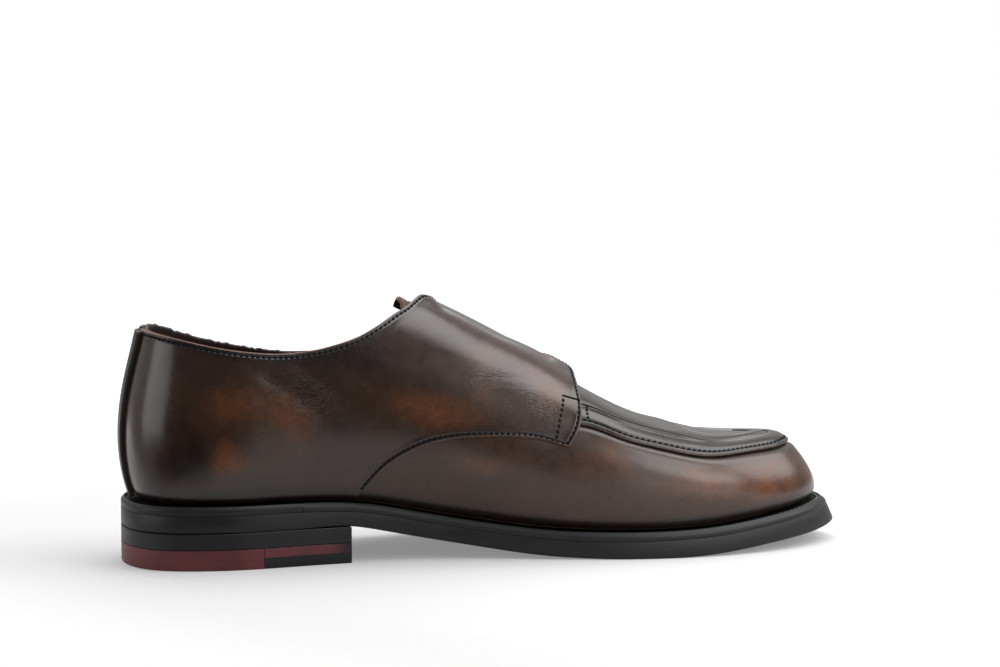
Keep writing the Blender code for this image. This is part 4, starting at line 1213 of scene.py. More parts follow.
def sew(name, runs, look, slot, pitch=2.35, length=2.05, radius=0.60, slant=0.12, arch=0.55):
    """One object for rows of stitches. A run is points and normals along a row."""
    all_points, all_faces, total = [], [], 0
    for points, normals in runs:
        made, faces = stitch_mesh(*stitch_path(points, normals, pitch), length, radius, slant, arch)
        all_points.append(made)
        all_faces += [tuple(c + total for c in face) for face in faces]
        total += len(made)
    made = make_object(name, np.vstack(all_points), all_faces, [look], smooth_angle=80.0)
    return settle(made, slot)


INNER_SPANS = (18, 14, 10)
inner_patch = Patch(refine(edge_rows(INNER_LOW), INNER_SPANS), refine(edge_rows(INNER_HIGH), INNER_SPANS), 62)
inner_overlay = Overlay(6 * INNER_SPANS[0], INNER_CREASES, strap_lift)
dress("inner_quarter_and_strap", inner_patch, inner_overlay, [quarter_leather, cut_edge, lining_hide, seam_and_shade_black],
      "quarter_leather", "quarter_medial")

OUTER_SPANS = (20, 14, 12)
outer_patch = Patch(refine(edge_rows(OUTER_LOW), OUTER_SPANS), refine(edge_rows(OUTER_HIGH), OUTER_SPANS), 56)
outer_overlay = Overlay(5 * OUTER_SPANS[0], OUTER_CREASES)
dress("outer_quarter", outer_patch, outer_overlay, [quarter_leather, lining_edge, lining_hide, seam_and_shade_black],
      "quarter_leather", "quarter_lateral")

STAY_RAISE = OVERLAY_GAP + LEATHER + 0.05
STAY_THICK = 1.5
STAY_FOOT = 0.012
STAY_TOP = 0.5 * (opening_part(-3.0) + opening_part(3.0)) - 1.6 / float(total_girth(0.0))
STAY_ROWS = 150
fraction = np.linspace(0.0, 1.0, STAY_ROWS)
stay_half = 3.6 + 2.2 * fraction ** 2
stay_part = STAY_FOOT + (STAY_TOP - STAY_FOOT) * fraction
stay_patch = Patch(np.stack([-stay_half, stay_part], -1), np.stack([stay_half, stay_part], -1), 16, around=True)


class Backstay:
    """Relief of the strip up the back of the heel, wider at the top, with a row of stitches along each side."""

    def outer(self, patch, row, across):
        low, high, end, _ = patch.distances(row, across)
        near = np.minimum(low, high)
        share = np.minimum(cut_profile(near, 0.6), cut_profile(end, 0.6))
        return STAY_RAISE + STAY_THICK * share + 0.8 * seam_relief(near, STAY_SEAM, 0.22, 0.36)

    def inner(self, patch, row, across):
        return np.full(np.broadcast(row, across).shape, STAY_RAISE - 0.35)

    def raw(self, patch, row, across):
        low, high, _, _ = patch.distances(row, across)
        return np.minimum(low, high) < 0.4

    def dye_and_shade(self, patch, row, across):
        low, high, _, _ = patch.distances(row, across)
        return np.exp(-np.minimum(low, high) / 1.5)


backstay = Backstay()
dress("heel_backstay", stay_patch, backstay, [stay_leather, dyed_and_shaded_edge, dyed_and_shaded_edge], "stay_leather", "backstay")

# ---------------------------------------------------------------- upper and apron
# the apron's outer edge under the strap, on the inner and on the outer side: station, height
BAND_HIDDEN = [(-150, 64.0), (-165, 60.5), (-179, 57.0)]
BAND_HIDDEN_OUTER = [(164, 61.5), (150, 66.0)]
# the apron ends here on both sides
REACH_BACK = 150.0


def wrap(station):
    """A station counted round the heel or the toe as a signed one."""
    return (np.asarray(station, float) + LENGTH) % PERIOD - LENGTH


def apron_stations():
    """Places round the toe, from REACH_BACK on the inner side to REACH_BACK on the outer side."""
    half = np.concatenate([np.arange(REACH_BACK, 290.0, 1.0), np.arange(290.0, LENGTH - 0.2, 0.75)])
    return np.concatenate([half, [LENGTH], (PERIOD - half)[::-1]])


def band_heights():
    """Height of the apron's outer edge, all round the toe."""
    rows = BAND_HIDDEN + BAND_EDGE + BAND_HIDDEN_OUTER
    return spline([((-s) % PERIOD, h) for s, h in rows])


AROUND = apron_stations()
band_height = band_heights()
BAND_PARTS = np.array([part_at_height(wrap(-a), float(band_height(a)[..., 0])) for a in AROUND])


def band_part(station):
    """Fraction above the feather line of the apron's outer edge."""
    return np.interp((-np.asarray(station, float)) % PERIOD, AROUND, BAND_PARTS)


def under_apron(station, part):
    """How far inside the apron's outer edge a point of the upper lies, in millimetres."""
    at = (-np.asarray(station, float)) % PERIOD
    inside = (part - band_part(station)) * total_girth(station)
    return np.where((at > REACH_BACK) & (at < PERIOD - REACH_BACK), inside, -50.0)


VAMP_CREASES = [
    (196, 52, 222, 34, -0.18, 8.0),
    (186, 44, 204, 26, 0.20, 7.0),
    (236, 36, 262, 22, 0.15, 9.0),
]


def welded_ids(stations, closed, columns):
    """Numbers of a grid's points, and the row and column of each. Closed rows meet their other side on the ridge."""
    ids = np.zeros((len(stations), columns), int)
    keep, on_ridge = [], {}
    for i, station in enumerate(stations):
        key = round(abs(float(station)), 4)
        for j in range(columns):
            meets = j == columns - 1 and closed[i]
            if meets and key in on_ridge:
                ids[i, j] = on_ridge[key]
                continue
            if meets:
                on_ridge[key] = len(keep)
            ids[i, j] = len(keep)
            keep.append((i, j))
    return ids, np.array(keep).T


# soft swelling of the vamp above the welt, and how far it turns in at the welt
SHOULDER = 0.9
TUCK = 1.2


def make_upper():
    """Vamp, the plug under the apron and the lining: one wall, open at the collar, the throat and below."""
    ahead = np.concatenate([np.arange(0.0, 285.0, 1.25), np.arange(285.0, LENGTH - 0.3, 0.9), [LENGTH]])
    stations = np.concatenate([-ahead[::-1], ahead[1:-1]])
    steps = np.linspace(0.0, 1.0, 79)
    steps = np.sort(np.concatenate([steps[:-1], 1 - np.array([0.0, 0.002, 0.005, 0.009])]))
    limit = np.array([part_at_opening(s) for s in stations])
    ids, (i, j) = welded_ids(stations, limit > CLOSED, len(steps))
    ids = np.vstack([ids, ids[:1]])
    station, share, open_edge = stations[i], limit[i] * steps[j], limit[i] < CLOSED
    rise = rise_at(station, share)
    girth = total_girth(station)
    edge = (limit[i] - share) * girth
    near_edge = np.maximum(edge, 0)
    rounding = np.where(open_edge, 0.45 * (1 - cut_profile(edge, 0.9, 0.0)), 0.0)
    inside = under_apron(station, share)
    base = last(station, rise, 0.0)
    creases = crease_relief(base, VAMP_CREASES) * (base[:, 1] < 0)
    side = bump(np.abs(station), 172, 194) * (1 - bump(np.abs(station), 248, 276))
    puff = 0.30 * hill(inside, -3.0, 1.8) + SHOULDER * side * hill(inside, -11.0, 8.0)
    puff = puff - 0.35 * hill(inside, -0.1, 0.7) - TUCK * np.exp(-share * girth / 2.0)
    outer = last(station, rise, -rounding - 0.55 * bump(inside, 2.0, 6.0) + creases + puff)
    wavy = 0.10 * np.sin(station * 1.9) + 0.08 * np.sin(station * 3.7 + 1.0)
    inner = last(station, rise, -WALL + rounding + wavy * np.exp(-near_edge / 2.0) * open_edge)
    # frayed edge of the collar on the outer side
    tufts = np.sin(station * 0.83) + np.sin(station * 1.71 + 2.0) + np.sin(station * 2.9 + 0.6)
    far_side = bump(station, 4.0, 10.0) * (1 - bump(station, 66.0, 84.0))
    tufts = (0.50 + 0.17 * tufts) * far_side * np.exp(-near_edge / 2.5) * open_edge
    outer[:, 2] += tufts
    inner[:, 2] += tufts
    raw = np.zeros(ids.shape, bool)
    raw[:-1, -3:] = (limit < CLOSED)[:, None]
    raw[-1, -3:] = True
    made = shell("vamp_and_lining", ids, outer, inner, [vamp_leather, lining_edge, lining_hide], raw,
                 foot=set(ids[:, 0].tolist()))
    # painted shade: dark in the crease just above the welt and in the gap under the apron's outer edge
    store_dye_and_shade(made, 2.0 * np.exp(-(share * girth / 3.4) ** 2) + np.exp(-np.abs(inside) / 1.2))
    return settle(made, "vamp_leather", "upper")


make_upper()

# the band's height, the distance of its inner seam from its outer edge, and the height of the apron inside it
BAND_TOP = 2.15
BAND_INNER = 9.4
PLUG_OUT = 0.12
# columns of the apron: distance in millimetres from its outer edge, closer at the seams
APRON_STEPS = np.concatenate([EDGE_STEPS[:-1], np.arange(3.6, 8.0, 0.4)[1:], np.arange(8.0, 11.0, 0.2),
                              np.arange(11.0, 14.1, 0.4)])


def apron_relief(inside, at):
    """Height of the apron off the last: cut edge, padded band, inner seam and sunken centre."""
    toe = bump(at, 225.0, 262.0) * (1 - bump(at, PERIOD - 262.0, PERIOD - 225.0))
    top = BAND_TOP * (0.80 + 0.20 * toe)
    start = 1.45 * cut_profile(inside, 0.7, 0.45)
    swell = (top - 1.45) * bump(inside, 1.8, 5.0)
    fall = bump(inside, BAND_INNER - 2.4 + 0.9 * (1 - toe), BAND_INNER)
    band = (start + swell) * (1 - fall) + (PLUG_OUT - 0.10) * fall
    past = inside - BAND_INNER
    seam = 0.10 * hill(past, -0.7, 0.5) - 0.32 * hill(past, 0.2, 0.4)
    bed = 0.16 * bump(past, 0.3, 3.0) - 0.8 * toe * hill(past, 1.6, 1.8)
    far_toe = bump(at, 309.0, 318.0) * (1 - bump(at, 350.0, 372.0))
    shelf = 1.85 * bump(past, -2.4, 0.0) * (1 - bump(past, 0.8, 18.0))
    shelf = shelf * (1 - 0.9 * far_toe) * bump(at, 156, 172)
    return band + seam + bed + shelf + seam_relief(inside, 2.05, 0.26, 0.42)


def make_apron():
    """The apron laid over the vamp, with the padded band around its edge."""
    at = AROUND
    stations = wrap(-at)
    limit = np.array([part_at_opening(s) for s in stations])
    closed = limit > CLOSED
    girth = total_girth(stations)
    reach = (limit - BAND_PARTS) * girth - np.where(closed, 0.0, 0.8)
    rest = np.linspace(0.0, 1.0, 44)[1:]
    inside = np.concatenate([np.broadcast_to(APRON_STEPS, (len(at), len(APRON_STEPS))),
                             APRON_STEPS[-1] + (reach - APRON_STEPS[-1])[:, None] * rest[None]], 1)
    ids, (i, j) = welded_ids(stations, closed, inside.shape[1])
    depth, station = inside[i, j], stations[i]
    rise = rise_at(station, BAND_PARTS[i] + depth / girth[i])
    out = apron_relief(depth, at[i])
    outer = last(station, rise, out)
    behind_toe = bump(at, 192.0, 228.0) * (1 - bump(at, 232.0, 266.0))
    outer[:, 2] += 0.8 * (bump(depth, 14.0, 34.0) * behind_toe[i])
    inner = last(station, rise, np.minimum(out - 0.25, 0.45 - 0.65 * bump(depth, 0.3, 3.0)))
    # looks: 1 on the cut lip, 3 in the stitch groove, partly painted shade there, and in the inner seam, and 3 as a
    # painted shadow in the sliver at the far side of the toe
    raw = np.zeros(ids.shape, int)
    raw[:, :2] = 1
    steps = np.concatenate([APRON_STEPS, np.full(len(rest), 99.0)])
    raw[:, (np.abs(steps - 1.9) < 0.15) | (np.abs(steps - BAND_INNER - 0.3) < 0.35)] = 3
    raw[np.ix_((at > 314.0) & (at < 338.0), np.abs(steps - 8.8) < 1.1)] = 3
    # the apron's walls take the dark edge, standing in partly for the shaded gap under the lip
    made = shell("apron_and_band", ids, outer, inner, [apron_leather, lip_edge_and_sheen, dyed_and_shaded_edge, seam_and_shade_black], raw,
                 walls_look=2)
    # darker along the stitch groove, partly painted shade in it, and a dark joint along the inner seam
    store_dye_and_shade(made, 0.8 * hill(depth, 2.0, 0.6) + 1.5 * hill(depth, BAND_INNER + 0.1, 0.42))
    return settle(made, "apron_leather", "apron_band")


make_apron()


def on_apron(at, distance):
    """Points and normals on the apron, round the toe and at distances inside its outer edge."""
    at, distance = np.broadcast_arrays(np.asarray(at, float), np.asarray(distance, float))
    station = wrap(-at)
    rise = rise_at(station, band_part(station) + distance / total_girth(station))
    return off_last(station, rise, apron_relief(distance, at))


sew("apron_bar_stitches", [on_apron(190.0, np.linspace(2.2, 9.2, 40))], upper_thread, "apron_leather", pitch=1.8,
    length=1.6, radius=0.55)
sew("apron_stitches", [on_apron(np.arange(176, PERIOD - 168, 0.5), 2.05)], upper_thread, "apron_leather", pitch=2.6,
    length=2.3, slant=0.46)

quarter_rows = []
for patch, overlay, spare in ((inner_patch, inner_overlay, 3), (outer_patch, outer_overlay, 1)):
    for side, start in ((0, overlay.cut_from + 2), (1, 3)):
        along = np.arange(start, len(patch.rows) - spare, 0.5)
        quarter_rows.append(patch_path(patch, along, SEAM_INSET, side, overlay.outer))
sew("quarter_stitches", quarter_rows, upper_thread, "quarter_leather", slant=0.14)


def strap_line(first, final, out, steps=60):
    """Points and normals straight across the strap between two (station, height) spots."""
    station = np.linspace(first[0], final[0], steps)
    height = np.linspace(first[1], final[1], steps)
    part = np.array([part_at_height(a, b) for a, b in zip(station, height)])
    return off_last(station, rise_at(station, part), strap_lift(station, part) + OVERLAY_GAP + LEATHER + out)


sew("strap_second_row", [strap_line((-179.6, 64.8), (-175.0, 49.9), -0.05)], upper_thread, "quarter_leather",
    radius=0.62, slant=0.22)
stay_along = np.arange(2, STAY_ROWS - 2, 0.5)
sew("backstay_stitches", [patch_path(stay_patch, stay_along, STAY_SEAM, side, backstay.outer) for side in (0, 1)],
    upper_thread, "stay_leather", pitch=2.2, length=1.5, radius=0.26)

# ---------------------------------------------------------------- tongue
tongue_curve = spline(TONGUE)


def make_tongue():
    """The tongue, from its tip above the collar to under the strap."""
    places = np.concatenate([np.linspace(TONGUE[0][0], 124.0, 24)[:-1], np.linspace(124.0, 176.0, 90)])
    half = tongue_curve(places)[..., 0]
    low = np.stack([places, -half / total_girth(-places)], -1)
    high = np.stack([places, half / total_girth(places)], -1)
    base = -(WALL + 1.15)

    def tip(patch, row, across):
        """How far the tongue's tip rises from its place under the upper."""
        station, rise = patch.where(row, across)
        girth = (1 - part_of_rise(station, rise)) * total_girth(station)
        return TONGUE_TIP * (1 - bump(np.abs(station), 118, 126)) * (1 - bump(girth, 6, 11))

    def outer(patch, row, across):
        low_edge, high_edge, _, start = patch.distances(row, across)
        share = np.minimum(cut_profile(np.minimum(low_edge, high_edge), 0.9), cut_profile(start, 0.9))
        ruffle = 0.12 * np.sin(start * 0.9) * np.exp(-start / 6.0)
        return base + tip(patch, row, across) - TONGUE_THICK * (1 - share) + ruffle

    def inner(patch, row, across):
        return base - TONGUE_THICK + tip(patch, row, across)

    def raw(patch, row, across):
        low_edge, high_edge, _, start = patch.distances(row, across)
        return (np.minimum(low_edge, high_edge) < 0.6) | (start < 0.6)

    looks = [tongue_leather, cut_edge, lining_hide]
    made = build_patch("tongue_tip", Patch(low, high, 36), outer, inner, looks, raw)
    return settle(made, "tongue_leather", "tongue")


make_tongue()

# ---------------------------------------------------------------- sole, welt and heel
SOLE_STATIONS = np.concatenate([np.arange(0.0, 20.0, 0.6), np.arange(20.0, 290.0, 1.5),
                                np.arange(290.0, LENGTH, 0.6), [LENGTH]])
HEEL_STATIONS = np.concatenate([np.arange(0.0, 20.0, 0.5), np.arange(20.0, BREAST_X, 1.2), [BREAST_X]])


def bridge(lower, upper):
    """Faces between two loops of point numbers."""
    return [(a, b, d, c) for a, b, d, c in zip(lower, upper, upper[1:] + upper[:1], lower[1:] + lower[:1])]


def plate(name, layers, stations, columns, look):
    """Solid of the sole's outline from its lowest layer to its highest. A layer gives points from stations."""
    left, right = -np.asarray(stations, float), np.asarray(stations, float)
    rings = [(layer(left), layer(right)) for layer in layers]
    across = np.linspace(0.0, 1.0, columns + 1)[None, :, None]
    caps = [a[:, None] * (1 - across) + b[:, None] * across for a, b in (rings[0], rings[-1])]
    points, ids = [], []
    for cap in caps:
        grid = np.zeros(cap.shape[:2], int)
        for i, row in enumerate(cap):
            tip = np.linalg.norm(row[0] - row[-1]) < 1e-6
            grid[i] = len(points) + (0 if tip else np.arange(columns + 1))
            points.extend(row[:1] if tip else row)
        ids.append(grid)
    faces = [face[::-1] for face in grid_faces(ids[0])[0]] + grid_faces(ids[1])[0]

    def loop(grid):
        """Point numbers around a cap: up the right side, across the front, back down the left side."""
        ring = [*grid[:, -1].tolist(), *grid[-1, ::-1][1:-1].tolist(), *grid[::-1, 0].tolist()]
        return [v for i, v in enumerate(ring) if v != ring[i - 1]]

    loops = [loop(ids[0])]
    part = np.linspace(0.0, 1.0, columns + 1)[::-1][1:-1, None]
    for ring_left, ring_right in rings[1:-1]:
        front = ring_left[-1] * (1 - part) + ring_right[-1] * part
        is_tip = np.linalg.norm(ring_left[-1] - ring_right[-1]) < 1e-6
        middle = list(ring_right) + ([] if is_tip else list(front)) + list(ring_left[::-1])
        ring = [p for i, p in enumerate(middle) if np.linalg.norm(p - middle[i - 1]) > 1e-6]
        loops.append(list(range(len(points), len(points) + len(ring))))
        points.extend(ring)
    loops.append(loop(ids[1]))
    for lower, upper in zip(loops, loops[1:]):
        faces += bridge(lower, upper)
    return make_object(name, points, faces, [look], smooth_angle=35.0)


def ring_piece(name, stations, profile, groove):
    """A bar of welt along the sole's edge. The profile is a loop of inset and height; the groove rows are painted
    near black as shade.
    """
    count = len(profile)
    rows = [rim(np.asarray(stations, float), inset, height) for inset, height in profile]
    loops = [list(range(i * count, (i + 1) * count)) for i in range(len(stations))]
    faces = [face for lower, upper in zip(loops, loops[1:]) for face in bridge(lower, upper)]
    faces += [tuple(loops[0]), tuple(loops[-1][::-1])]
    indices = [int(k in groove) for k in range(count)] * (len(stations) - 1) + [0, 0]
    points = np.stack(rows, 1).reshape(-1, 3)
    return make_object(name, points, faces, [welt_look, groove_shade_look], indices, smooth_angle=35.0)


def flat_layer(inset, height, start=-math.inf, finish=None):
    """A layer of the heel at one height above the floor, cut off between two x."""
    finish = BREAST_X - inset if finish is None else finish

    def place(station):
        flat = plan(station, inset)
        x = np.clip(flat[..., 0], start, finish)
        return np.stack([x, flat[..., 1], np.full(x.shape, height)], -1)

    return place


def sole_layer(inset, height):
    """A layer of the sole inside its outline."""
    return lambda station: rim(station, inset, height)


def sock_layer(inset, height):
    """A layer inside the feather line, at a height above the top of the welt."""
    return lambda station: rim(station, section(station)[..., 0] + inset, from_top(-height))


def from_top(amount):
    """Height a number of millimetres below the top of the welt."""
    return lambda x: 1 - amount / (sole_top(x) - sole_underside(x))


def from_floor(amount):
    """Height a number of millimetres above the underside."""
    return lambda x: amount / (sole_top(x) - sole_underside(x))


# depth of the groove between the sole and the welt above it
SEAM = 0.16
settle(plate("outsole_body", [
    sole_layer(1.1, 0.0), sole_layer(0.45, from_floor(0.10)), sole_layer(0.12, from_floor(0.40)),
    sole_layer(0.0, from_floor(0.9)), sole_layer(0.0, from_top(WELT_THICK + SEAM + 0.35)),
    sole_layer(0.22, from_top(WELT_THICK + SEAM)),
], SOLE_STATIONS, 18, sole_look), "sole_rubber", "outsole")
settle(plate("heel_block", [
    flat_layer(0.25, LIFT_TOP + 0.12), flat_layer(0.0, LIFT_TOP + 0.4), flat_layer(0.0, HEEL_TOP + 0.10),
    flat_layer(0.25, HEEL_TOP + 0.38),
], HEEL_STATIONS, 12, heel_look), "heel_rubber", "heel_base")


def lift_piece(name, start, finish, low, high, look, slot, *nodes):
    """A part of the heel's lowest layer, between two x and two heights, with slightly rounded edges."""
    stations = HEEL_STATIONS[(HEEL_STATIONS >= start - 1e-6) & (HEEL_STATIONS <= finish + 1e-6)]
    if stations[0] > start + 1e-6:
        stations = np.concatenate([[start], stations])
    foot = [(0.5, low), (0.12, low + 0.12), (0.0, low + 0.45)] if low == 0 else [(0.0, low)]
    rows = foot + [(0.0, high - 0.15), (0.14, high)]
    layers = [flat_layer(inset, height, start, finish) for inset, height in rows]
    return settle(plate(name, layers, stations, 12, look), slot, *nodes)


lift_piece("lift_rear", 0.0, INSERT_X, 0.0, LIFT_TOP, lift_look, "lift_rubber", "top_lift")
lift_piece("lift_band", INSERT_X, BREAST_X, INSERT_TOP + 0.08, LIFT_TOP, lift_look, "lift_rubber")
lift_piece("lift_insert", INSERT_X, BREAST_X, 0.0, INSERT_TOP, insert_look, "insert_rubber", "top_lift_insert")


def welt_loop(bevel_down, bevel_in, seam):
    """Profile of the welt: inset and height, from the seam up over the bevel to the flat top."""
    return [
        (seam, from_top(WELT_THICK)), (0.0, from_top(WELT_THICK - 0.25)), (0.0, from_top(bevel_down + 0.2)),
        (0.06, from_top(bevel_down - 0.08)), (bevel_in - 0.2, from_top(0.16)), (bevel_in, from_top(0.03)),
        (bevel_in + 0.18, from_top(0.02)), (bevel_in + 0.42, from_top(0.22)), (bevel_in + 0.8, from_top(1.0)),
        (bevel_in + 2.3, from_top(1.05)), (bevel_in + 2.6, from_top(0.8)), (WELT_REACH, from_top(0.5)),
        (WELT_REACH, from_top(WELT_THICK)),
    ]


# sides of the profile that lie in the groove behind the bevel, painted near black as shade
SHADED_GROOVE_ROWS = range(7, 12)
front = SOLE_STATIONS[SOLE_STATIONS > JOINT_STATION]
places = np.concatenate([[-JOINT_STATION], -front, front[::-1][1:], [JOINT_STATION]])
settle(ring_piece("welt_edge", places, welt_loop(1.9, 1.9, 0.14), SHADED_GROOVE_ROWS), "welt_rubber", "welt")
back = SOLE_STATIONS[SOLE_STATIONS < JOINT_STATION - 0.5]
places = np.concatenate([[0.25 - JOINT_STATION], -back[::-1], back[1:], [JOINT_STATION - 0.25]])[::-1]
settle(ring_piece("rand_edge", places, welt_loop(1.3, 1.2, 0.12), SHADED_GROOVE_ROWS), "welt_rubber", "heel_rand")

WELT_STITCH_INSET = 3.3
ahead = np.arange(78.0, LENGTH, 0.8)
places = np.concatenate([-ahead, ahead[::-1]])
stitch_line = rim(places, WELT_STITCH_INSET, from_top(0.62))
sew("welt_stitches", [(stitch_line, np.tile([0.0, 0.0, 1.0], (len(places), 1)))], welt_thread, "welt_rubber",
    pitch=3.1, length=2.3, radius=0.36, arch=0.35)

# ---------------------------------------------------------------- sock
sock_layers = [sock_layer(2.2, 0.4), sock_layer(2.05, 2.9), sock_layer(2.6, 3.3)]
settle(plate("sock", sock_layers, SOLE_STATIONS, 40, sock_hide), "insole_leather", "insole")


# ---------------------------------------------------------------- buckle
def on_strap(place, girth):
    """Station, rise and lift of the strap on the outer side, at a place and girth."""
    station = np.asarray(place, float)
    part = 1 - np.asarray(girth, float) / total_girth(station)
    return station, rise_at(station, part), strap_lift(station, part)


def wire(name, points, radius, look, closed=False, fineness=3):
    """A round wire or cord through points in shoe millimetres."""
    curve = bpy.data.curves.new(name + "_curve", "CURVE")
    curve.dimensions = "3D"
    curve.bevel_depth = radius * MM
    curve.bevel_resolution = fineness
    curve.use_fill_caps = True
    line = curve.splines.new("POLY")
    line.points.add(len(points) - 1)
    for target, point in zip(line.points, to_row(points)):
        target.co = (*point, 1.0)
    line.use_cyclic_u = closed
    held = put(name + "_path", curve)
    bpy.context.view_layer.update()
    mesh = bpy.data.meshes.new_from_object(held.evaluated_get(bpy.context.evaluated_depsgraph_get()))
    bpy.data.objects.remove(held)
    mesh.materials.clear()
    mesh.materials.append(look)
    mesh.shade_smooth()
    return put(name, mesh)


# space between the strap and the frame's bar
BUCKLE_OVER = 0.35


def rounded_frame():
    """Loop of offsets from the buckle's middle: along the shoe, and down from the ridge."""
    half_high = (BUCKLE_LOW - BUCKLE_TOP) / 2
    flat_x, flat_y = BUCKLE_HALF_WIDTH - BUCKLE_CORNER, half_high - BUCKLE_CORNER
    ring = []
    for index, (across, along) in enumerate([(1, 1), (-1, 1), (-1, -1), (1, -1)]):
        for turn in np.radians(90 * index + np.linspace(0, 90, 12)):
            ring.append((across * flat_x + BUCKLE_CORNER * math.cos(turn),
                         along * flat_y + BUCKLE_CORNER * math.sin(turn)))
        if index in (0, 2):
            steps = (1 - 2 * part for part in np.linspace(0, 1, 26)[1:-1])
            ring += [(across * step * flat_x, along * half_high) for step in steps]
        else:
            steps = (1 - 2 * part for part in np.linspace(0, 1, 10)[1:-1])
            ring += [(across * BUCKLE_HALF_WIDTH, along * step * flat_y) for step in steps]
    return np.array(ring)


def make_buckle():
    """Frame: the top bar lies over the strap, the low bar under it, the sides join them. The prong lies on top."""
    under = OVERLAY_GAP + LEATHER + BUCKLE_OVER + BUCKLE_WIRE
    over = on_strap([BUCKLE_PLACE], [BUCKLE_TOP])[2][0] + under
    ring = rounded_frame()
    girth = (BUCKLE_TOP + BUCKLE_LOW) / 2 + ring[:, 1]
    blend = bump(girth, BUCKLE_TOP + 1.0, BUCKLE_LOW - 1.0)
    station, rise, _ = on_strap(BUCKLE_PLACE + ring[:, 0], girth)
    points = last(station, rise, over + (under - over) * blend)
    settle(wire("buckle_ring", points, BUCKLE_WIRE, buckle_look, True, 4), "buckle_metal", "buckle_frame")

    girth = np.linspace(40.0, 25.5, 50)
    station, rise, lift = on_strap(np.full(girth.shape, BUCKLE_PLACE), girth)
    low = lift + OVERLAY_GAP + LEATHER + 0.3 + PRONG_WIRE
    high = over + BUCKLE_WIRE + 0.30 + PRONG_WIRE
    part = np.where(girth > 30, 1 - bump(girth, 32.0, 37.5), 1.0)
    points = last(station, rise, low + (np.maximum(high, low) - low) * part)
    settle(wire("buckle_pin", points, PRONG_WIRE, buckle_look, fineness=4), "buckle_metal", "buckle_prong")


make_buckle()

# the short slit where the upper layer of the strap ends over the lower one
slit = strap_line((-179.0, 65.4), (-186.6, 62.9), 0.0)[0]
settle(wire("strap_slit", slit, 0.42, seam_and_shade_black), "quarter_leather")

HOLE_SIDES = 32
HOLE_RADIUS = 1.25


def punched_hole(number, from_end):
    """A round hole with a soft rim, on the middle of the strap's tail; a black disc just under the surface is
    painted shade for its depth.
    """
    row = np.array([np.interp(inner_patch.along[-1] - from_end, inner_patch.along, inner_patch.rows)])
    half_width = 0.5 * np.interp(row, inner_patch.rows, inner_patch.width)
    centre, outward = patch_path(inner_patch, row, half_width, 0, inner_overlay.outer)
    behind, _ = patch_path(inner_patch, row - 0.5, half_width, 0, inner_overlay.outer)
    normal = outward[0] / np.linalg.norm(outward[0])
    along = behind[0] - centre[0]
    along -= normal * np.dot(along, normal)
    along /= np.linalg.norm(along)
    turns = np.linspace(0, 2 * math.pi, HOLE_SIDES + 1)[:-1, None]
    ring = centre + HOLE_RADIUS * (np.cos(turns) * along + np.sin(turns) * np.cross(normal, along))
    points = np.vstack([centre + 0.10 * normal, centre - 0.30 * normal, ring + 0.06 * normal])
    faces = []
    for k in range(HOLE_SIDES):
        a, b = 2 + k, 2 + (k + 1) % HOLE_SIDES
        faces += [(0, a, b), (1, b, a)]
    settle(make_object(f"strap_hole_{number}", points, faces, [seam_and_shade_black]), "quarter_leather")
    rim_cord = wire(f"strap_hole_rim_{number}", ring + 0.02 * normal, 0.24, quarter_leather, True)
    settle(rim_cord, "quarter_leather")


for number, from_end in enumerate((11.0, 18.0)):
    punched_hole(number, from_end)

# ---------------------------------------------------------------- studio
# the round floor: radius in metres, number of sides
FLOOR_EDGE = 1.3
FLOOR_SIDES = 96
# brightness of the room by height, from below (0) to above (1)
FRONT_ROOM = [(0.0, 0.08), (0.27, 0.06), (0.36, 0.10), (0.55, 0.18), (1.0, 0.30)]
BACK_ROOM = [(0.0, 0.60), (0.25, 0.46), (0.50, 0.60), (0.70, 1.0), (1.0, 0.8)]
# name, place, aim, width, height, radiance, turn about the beam in degrees
LIGHTS = [
    ("top_softbox", (0.14, 0.10, 0.86), (0.05, 0.07, 0.0), 1.25, 0.60, 5.2, 14.0),
    ("left_softbox", (-0.70, -0.17, 0.18), (-0.13, -0.01, 0.07), 0.56, 0.36, 2.1, 0.0),
    ("front_card_low", (0.25, -0.26, 0.11), (0.25, 0.0, 0.11), 0.40, 0.24, 1.6, 0.0),
    ("front_card_high", (0.31, -0.27, 0.22), (0.29, 0.0, 0.19), 0.36, 0.20, 3.8, 0.0),
    ("toe_softbox", (0.60, -0.07, 0.43), (0.12, -0.02, 0.04), 0.42, 0.48, 4.2, 0.0),
    ("back_softbox", (0.0, 0.85, 0.72), (0.0, 0.0, 0.06), 1.1, 0.45, 2.0, 0.0),
]


def grey(value):
    return (value, value, value, 1.0)


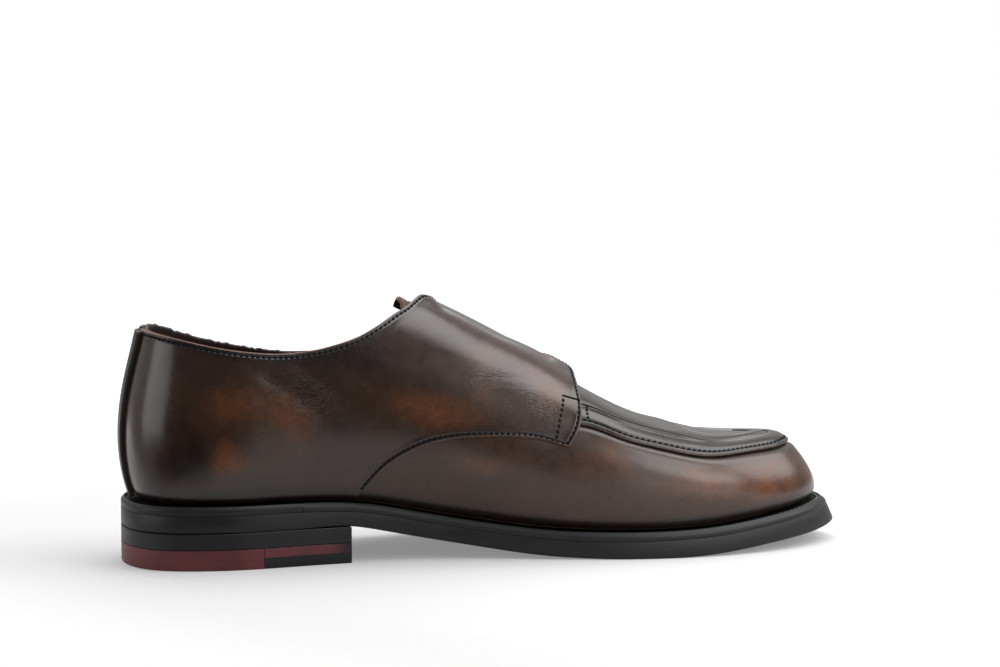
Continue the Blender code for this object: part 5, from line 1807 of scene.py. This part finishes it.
def make_floor():
    """Grey ground that glows as painted light, more away from the shoe, and fades out to the front left, where the
    room is dark.
    """
    steps = np.linspace(0, 2 * math.pi, FLOOR_SIDES + 1)[:-1]
    points = [(0.0, 0.0, 0.0)] + [(FLOOR_EDGE * math.cos(a), FLOOR_EDGE * math.sin(a), 0.0) for a in steps]
    faces = [(0, 1 + k, 1 + (k + 1) % FLOOR_SIDES) for k in range(FLOOR_SIDES)]
    mesh = bpy.data.meshes.new("studio_floor")
    mesh.from_pydata(points, [], faces)
    made, tree, shader, place = start_material("glowing_floor")
    far = vectors(tree, "LENGTH", place, (0, 0, 0))
    # painted light: the floor glows, weaker near the shoe and stronger further out
    glow = remap(tree, far, 0.20, 0.55, 0.24, 0.75, smooth=True)
    round_edge = remap(tree, far, 0.80, FLOOR_EDGE, 1.0, 0.0, smooth=True)
    x, y, _ = separate(tree, place)
    left = remap(tree, x, 0.03, 0.13, 1.0, 0.0, smooth=True)
    slanted = maths(tree, "ADD", y, maths(tree, "MULTIPLY", x, 1.3))
    near = remap(tree, slanted, -0.40, -0.28, 1.0, 0.0, smooth=True)
    open_part = maths(tree, "SUBTRACT", 1.0, maths(tree, "MULTIPLY", left, near))
    fill(tree, shader, {"Base Color": grey(0.36), "Roughness": 0.8, "Specular IOR Level": 0.1,
                        "Emission Color": grey(1.0), "Emission Strength": glow,
                        "Alpha": maths(tree, "MULTIPLY", round_edge, open_part)})
    mesh.materials.append(made)
    put("studio_floor", mesh)


def make_world():
    """White ground to the eye. To the shoe, a dark room in front and a pale one behind."""
    world = bpy.data.worlds.new("studio")
    bpy.context.scene.world = world
    world.use_nodes = True
    tree = world.node_tree
    tree.nodes.clear()
    x, y, z = separate(tree, new_node(tree, "ShaderNodeTexCoord").outputs["Generated"])
    front, behind = (ramp(tree, remap(tree, z, -0.30, 0.90), [(at, grey(value)) for at, value in stops])
                     for stops in (FRONT_ROOM, BACK_ROOM))
    side = remap(tree, maths(tree, "SUBTRACT", y, maths(tree, "MULTIPLY", x, 0.35)), -0.25, 0.25, smooth=True)
    room = mix_colour(tree, side, front, behind)
    lit = new_node(tree, "ShaderNodeBackground", {"Color": room, "Strength": 1.0}).outputs[0]
    seen = new_node(tree, "ShaderNodeBackground", {"Color": grey(1.0), "Strength": 1.0}).outputs[0]
    camera_ray = new_node(tree, "ShaderNodeLightPath").outputs["Is Camera Ray"]
    mixed = new_node(tree, "ShaderNodeMixShader", {0: camera_ray, 1: lit, 2: seen}).outputs[0]
    new_node(tree, "ShaderNodeOutputWorld", {"Surface": mixed})


def soft_light(name, location, target, width, height, radiance, turn):
    """A rectangular soft light aimed at a target, hidden from the camera."""
    light = bpy.data.lights.new(name, "AREA")
    light.shape = "RECTANGLE"
    light.size, light.size_y = width, height
    light.energy = radiance * math.pi * width * height
    made = put(name, light)
    made.location = location
    made.visible_camera = False
    made.rotation_euler = (Vector(target) - made.location).to_track_quat("-Z", "Y").to_euler()
    made.rotation_euler.rotate_axis("Z", math.radians(turn))


make_floor()
make_world()
for row in LIGHTS:
    soft_light(*row)

camera = bpy.data.cameras.new("camera")
camera.sensor_width = 36.0
camera.lens = CAMERA_LENS
camera_object = put("camera", camera)
camera_object.location = to_row(CAMERA_PLACE)
azimuth, elevation = math.radians(CAMERA_AZIMUTH), math.radians(CAMERA_ELEVATION)
level = math.cos(elevation)
sight = Vector((math.cos(azimuth) * level, math.sin(azimuth) * level, math.sin(elevation)))
camera_object.rotation_euler = sight.to_track_quat("-Z", "Y").to_euler()
camera.clip_start, camera.clip_end = 0.01, 50.0
bpy.context.scene.camera = camera_object
bpy.context.scene.view_settings.view_transform = "Standard"
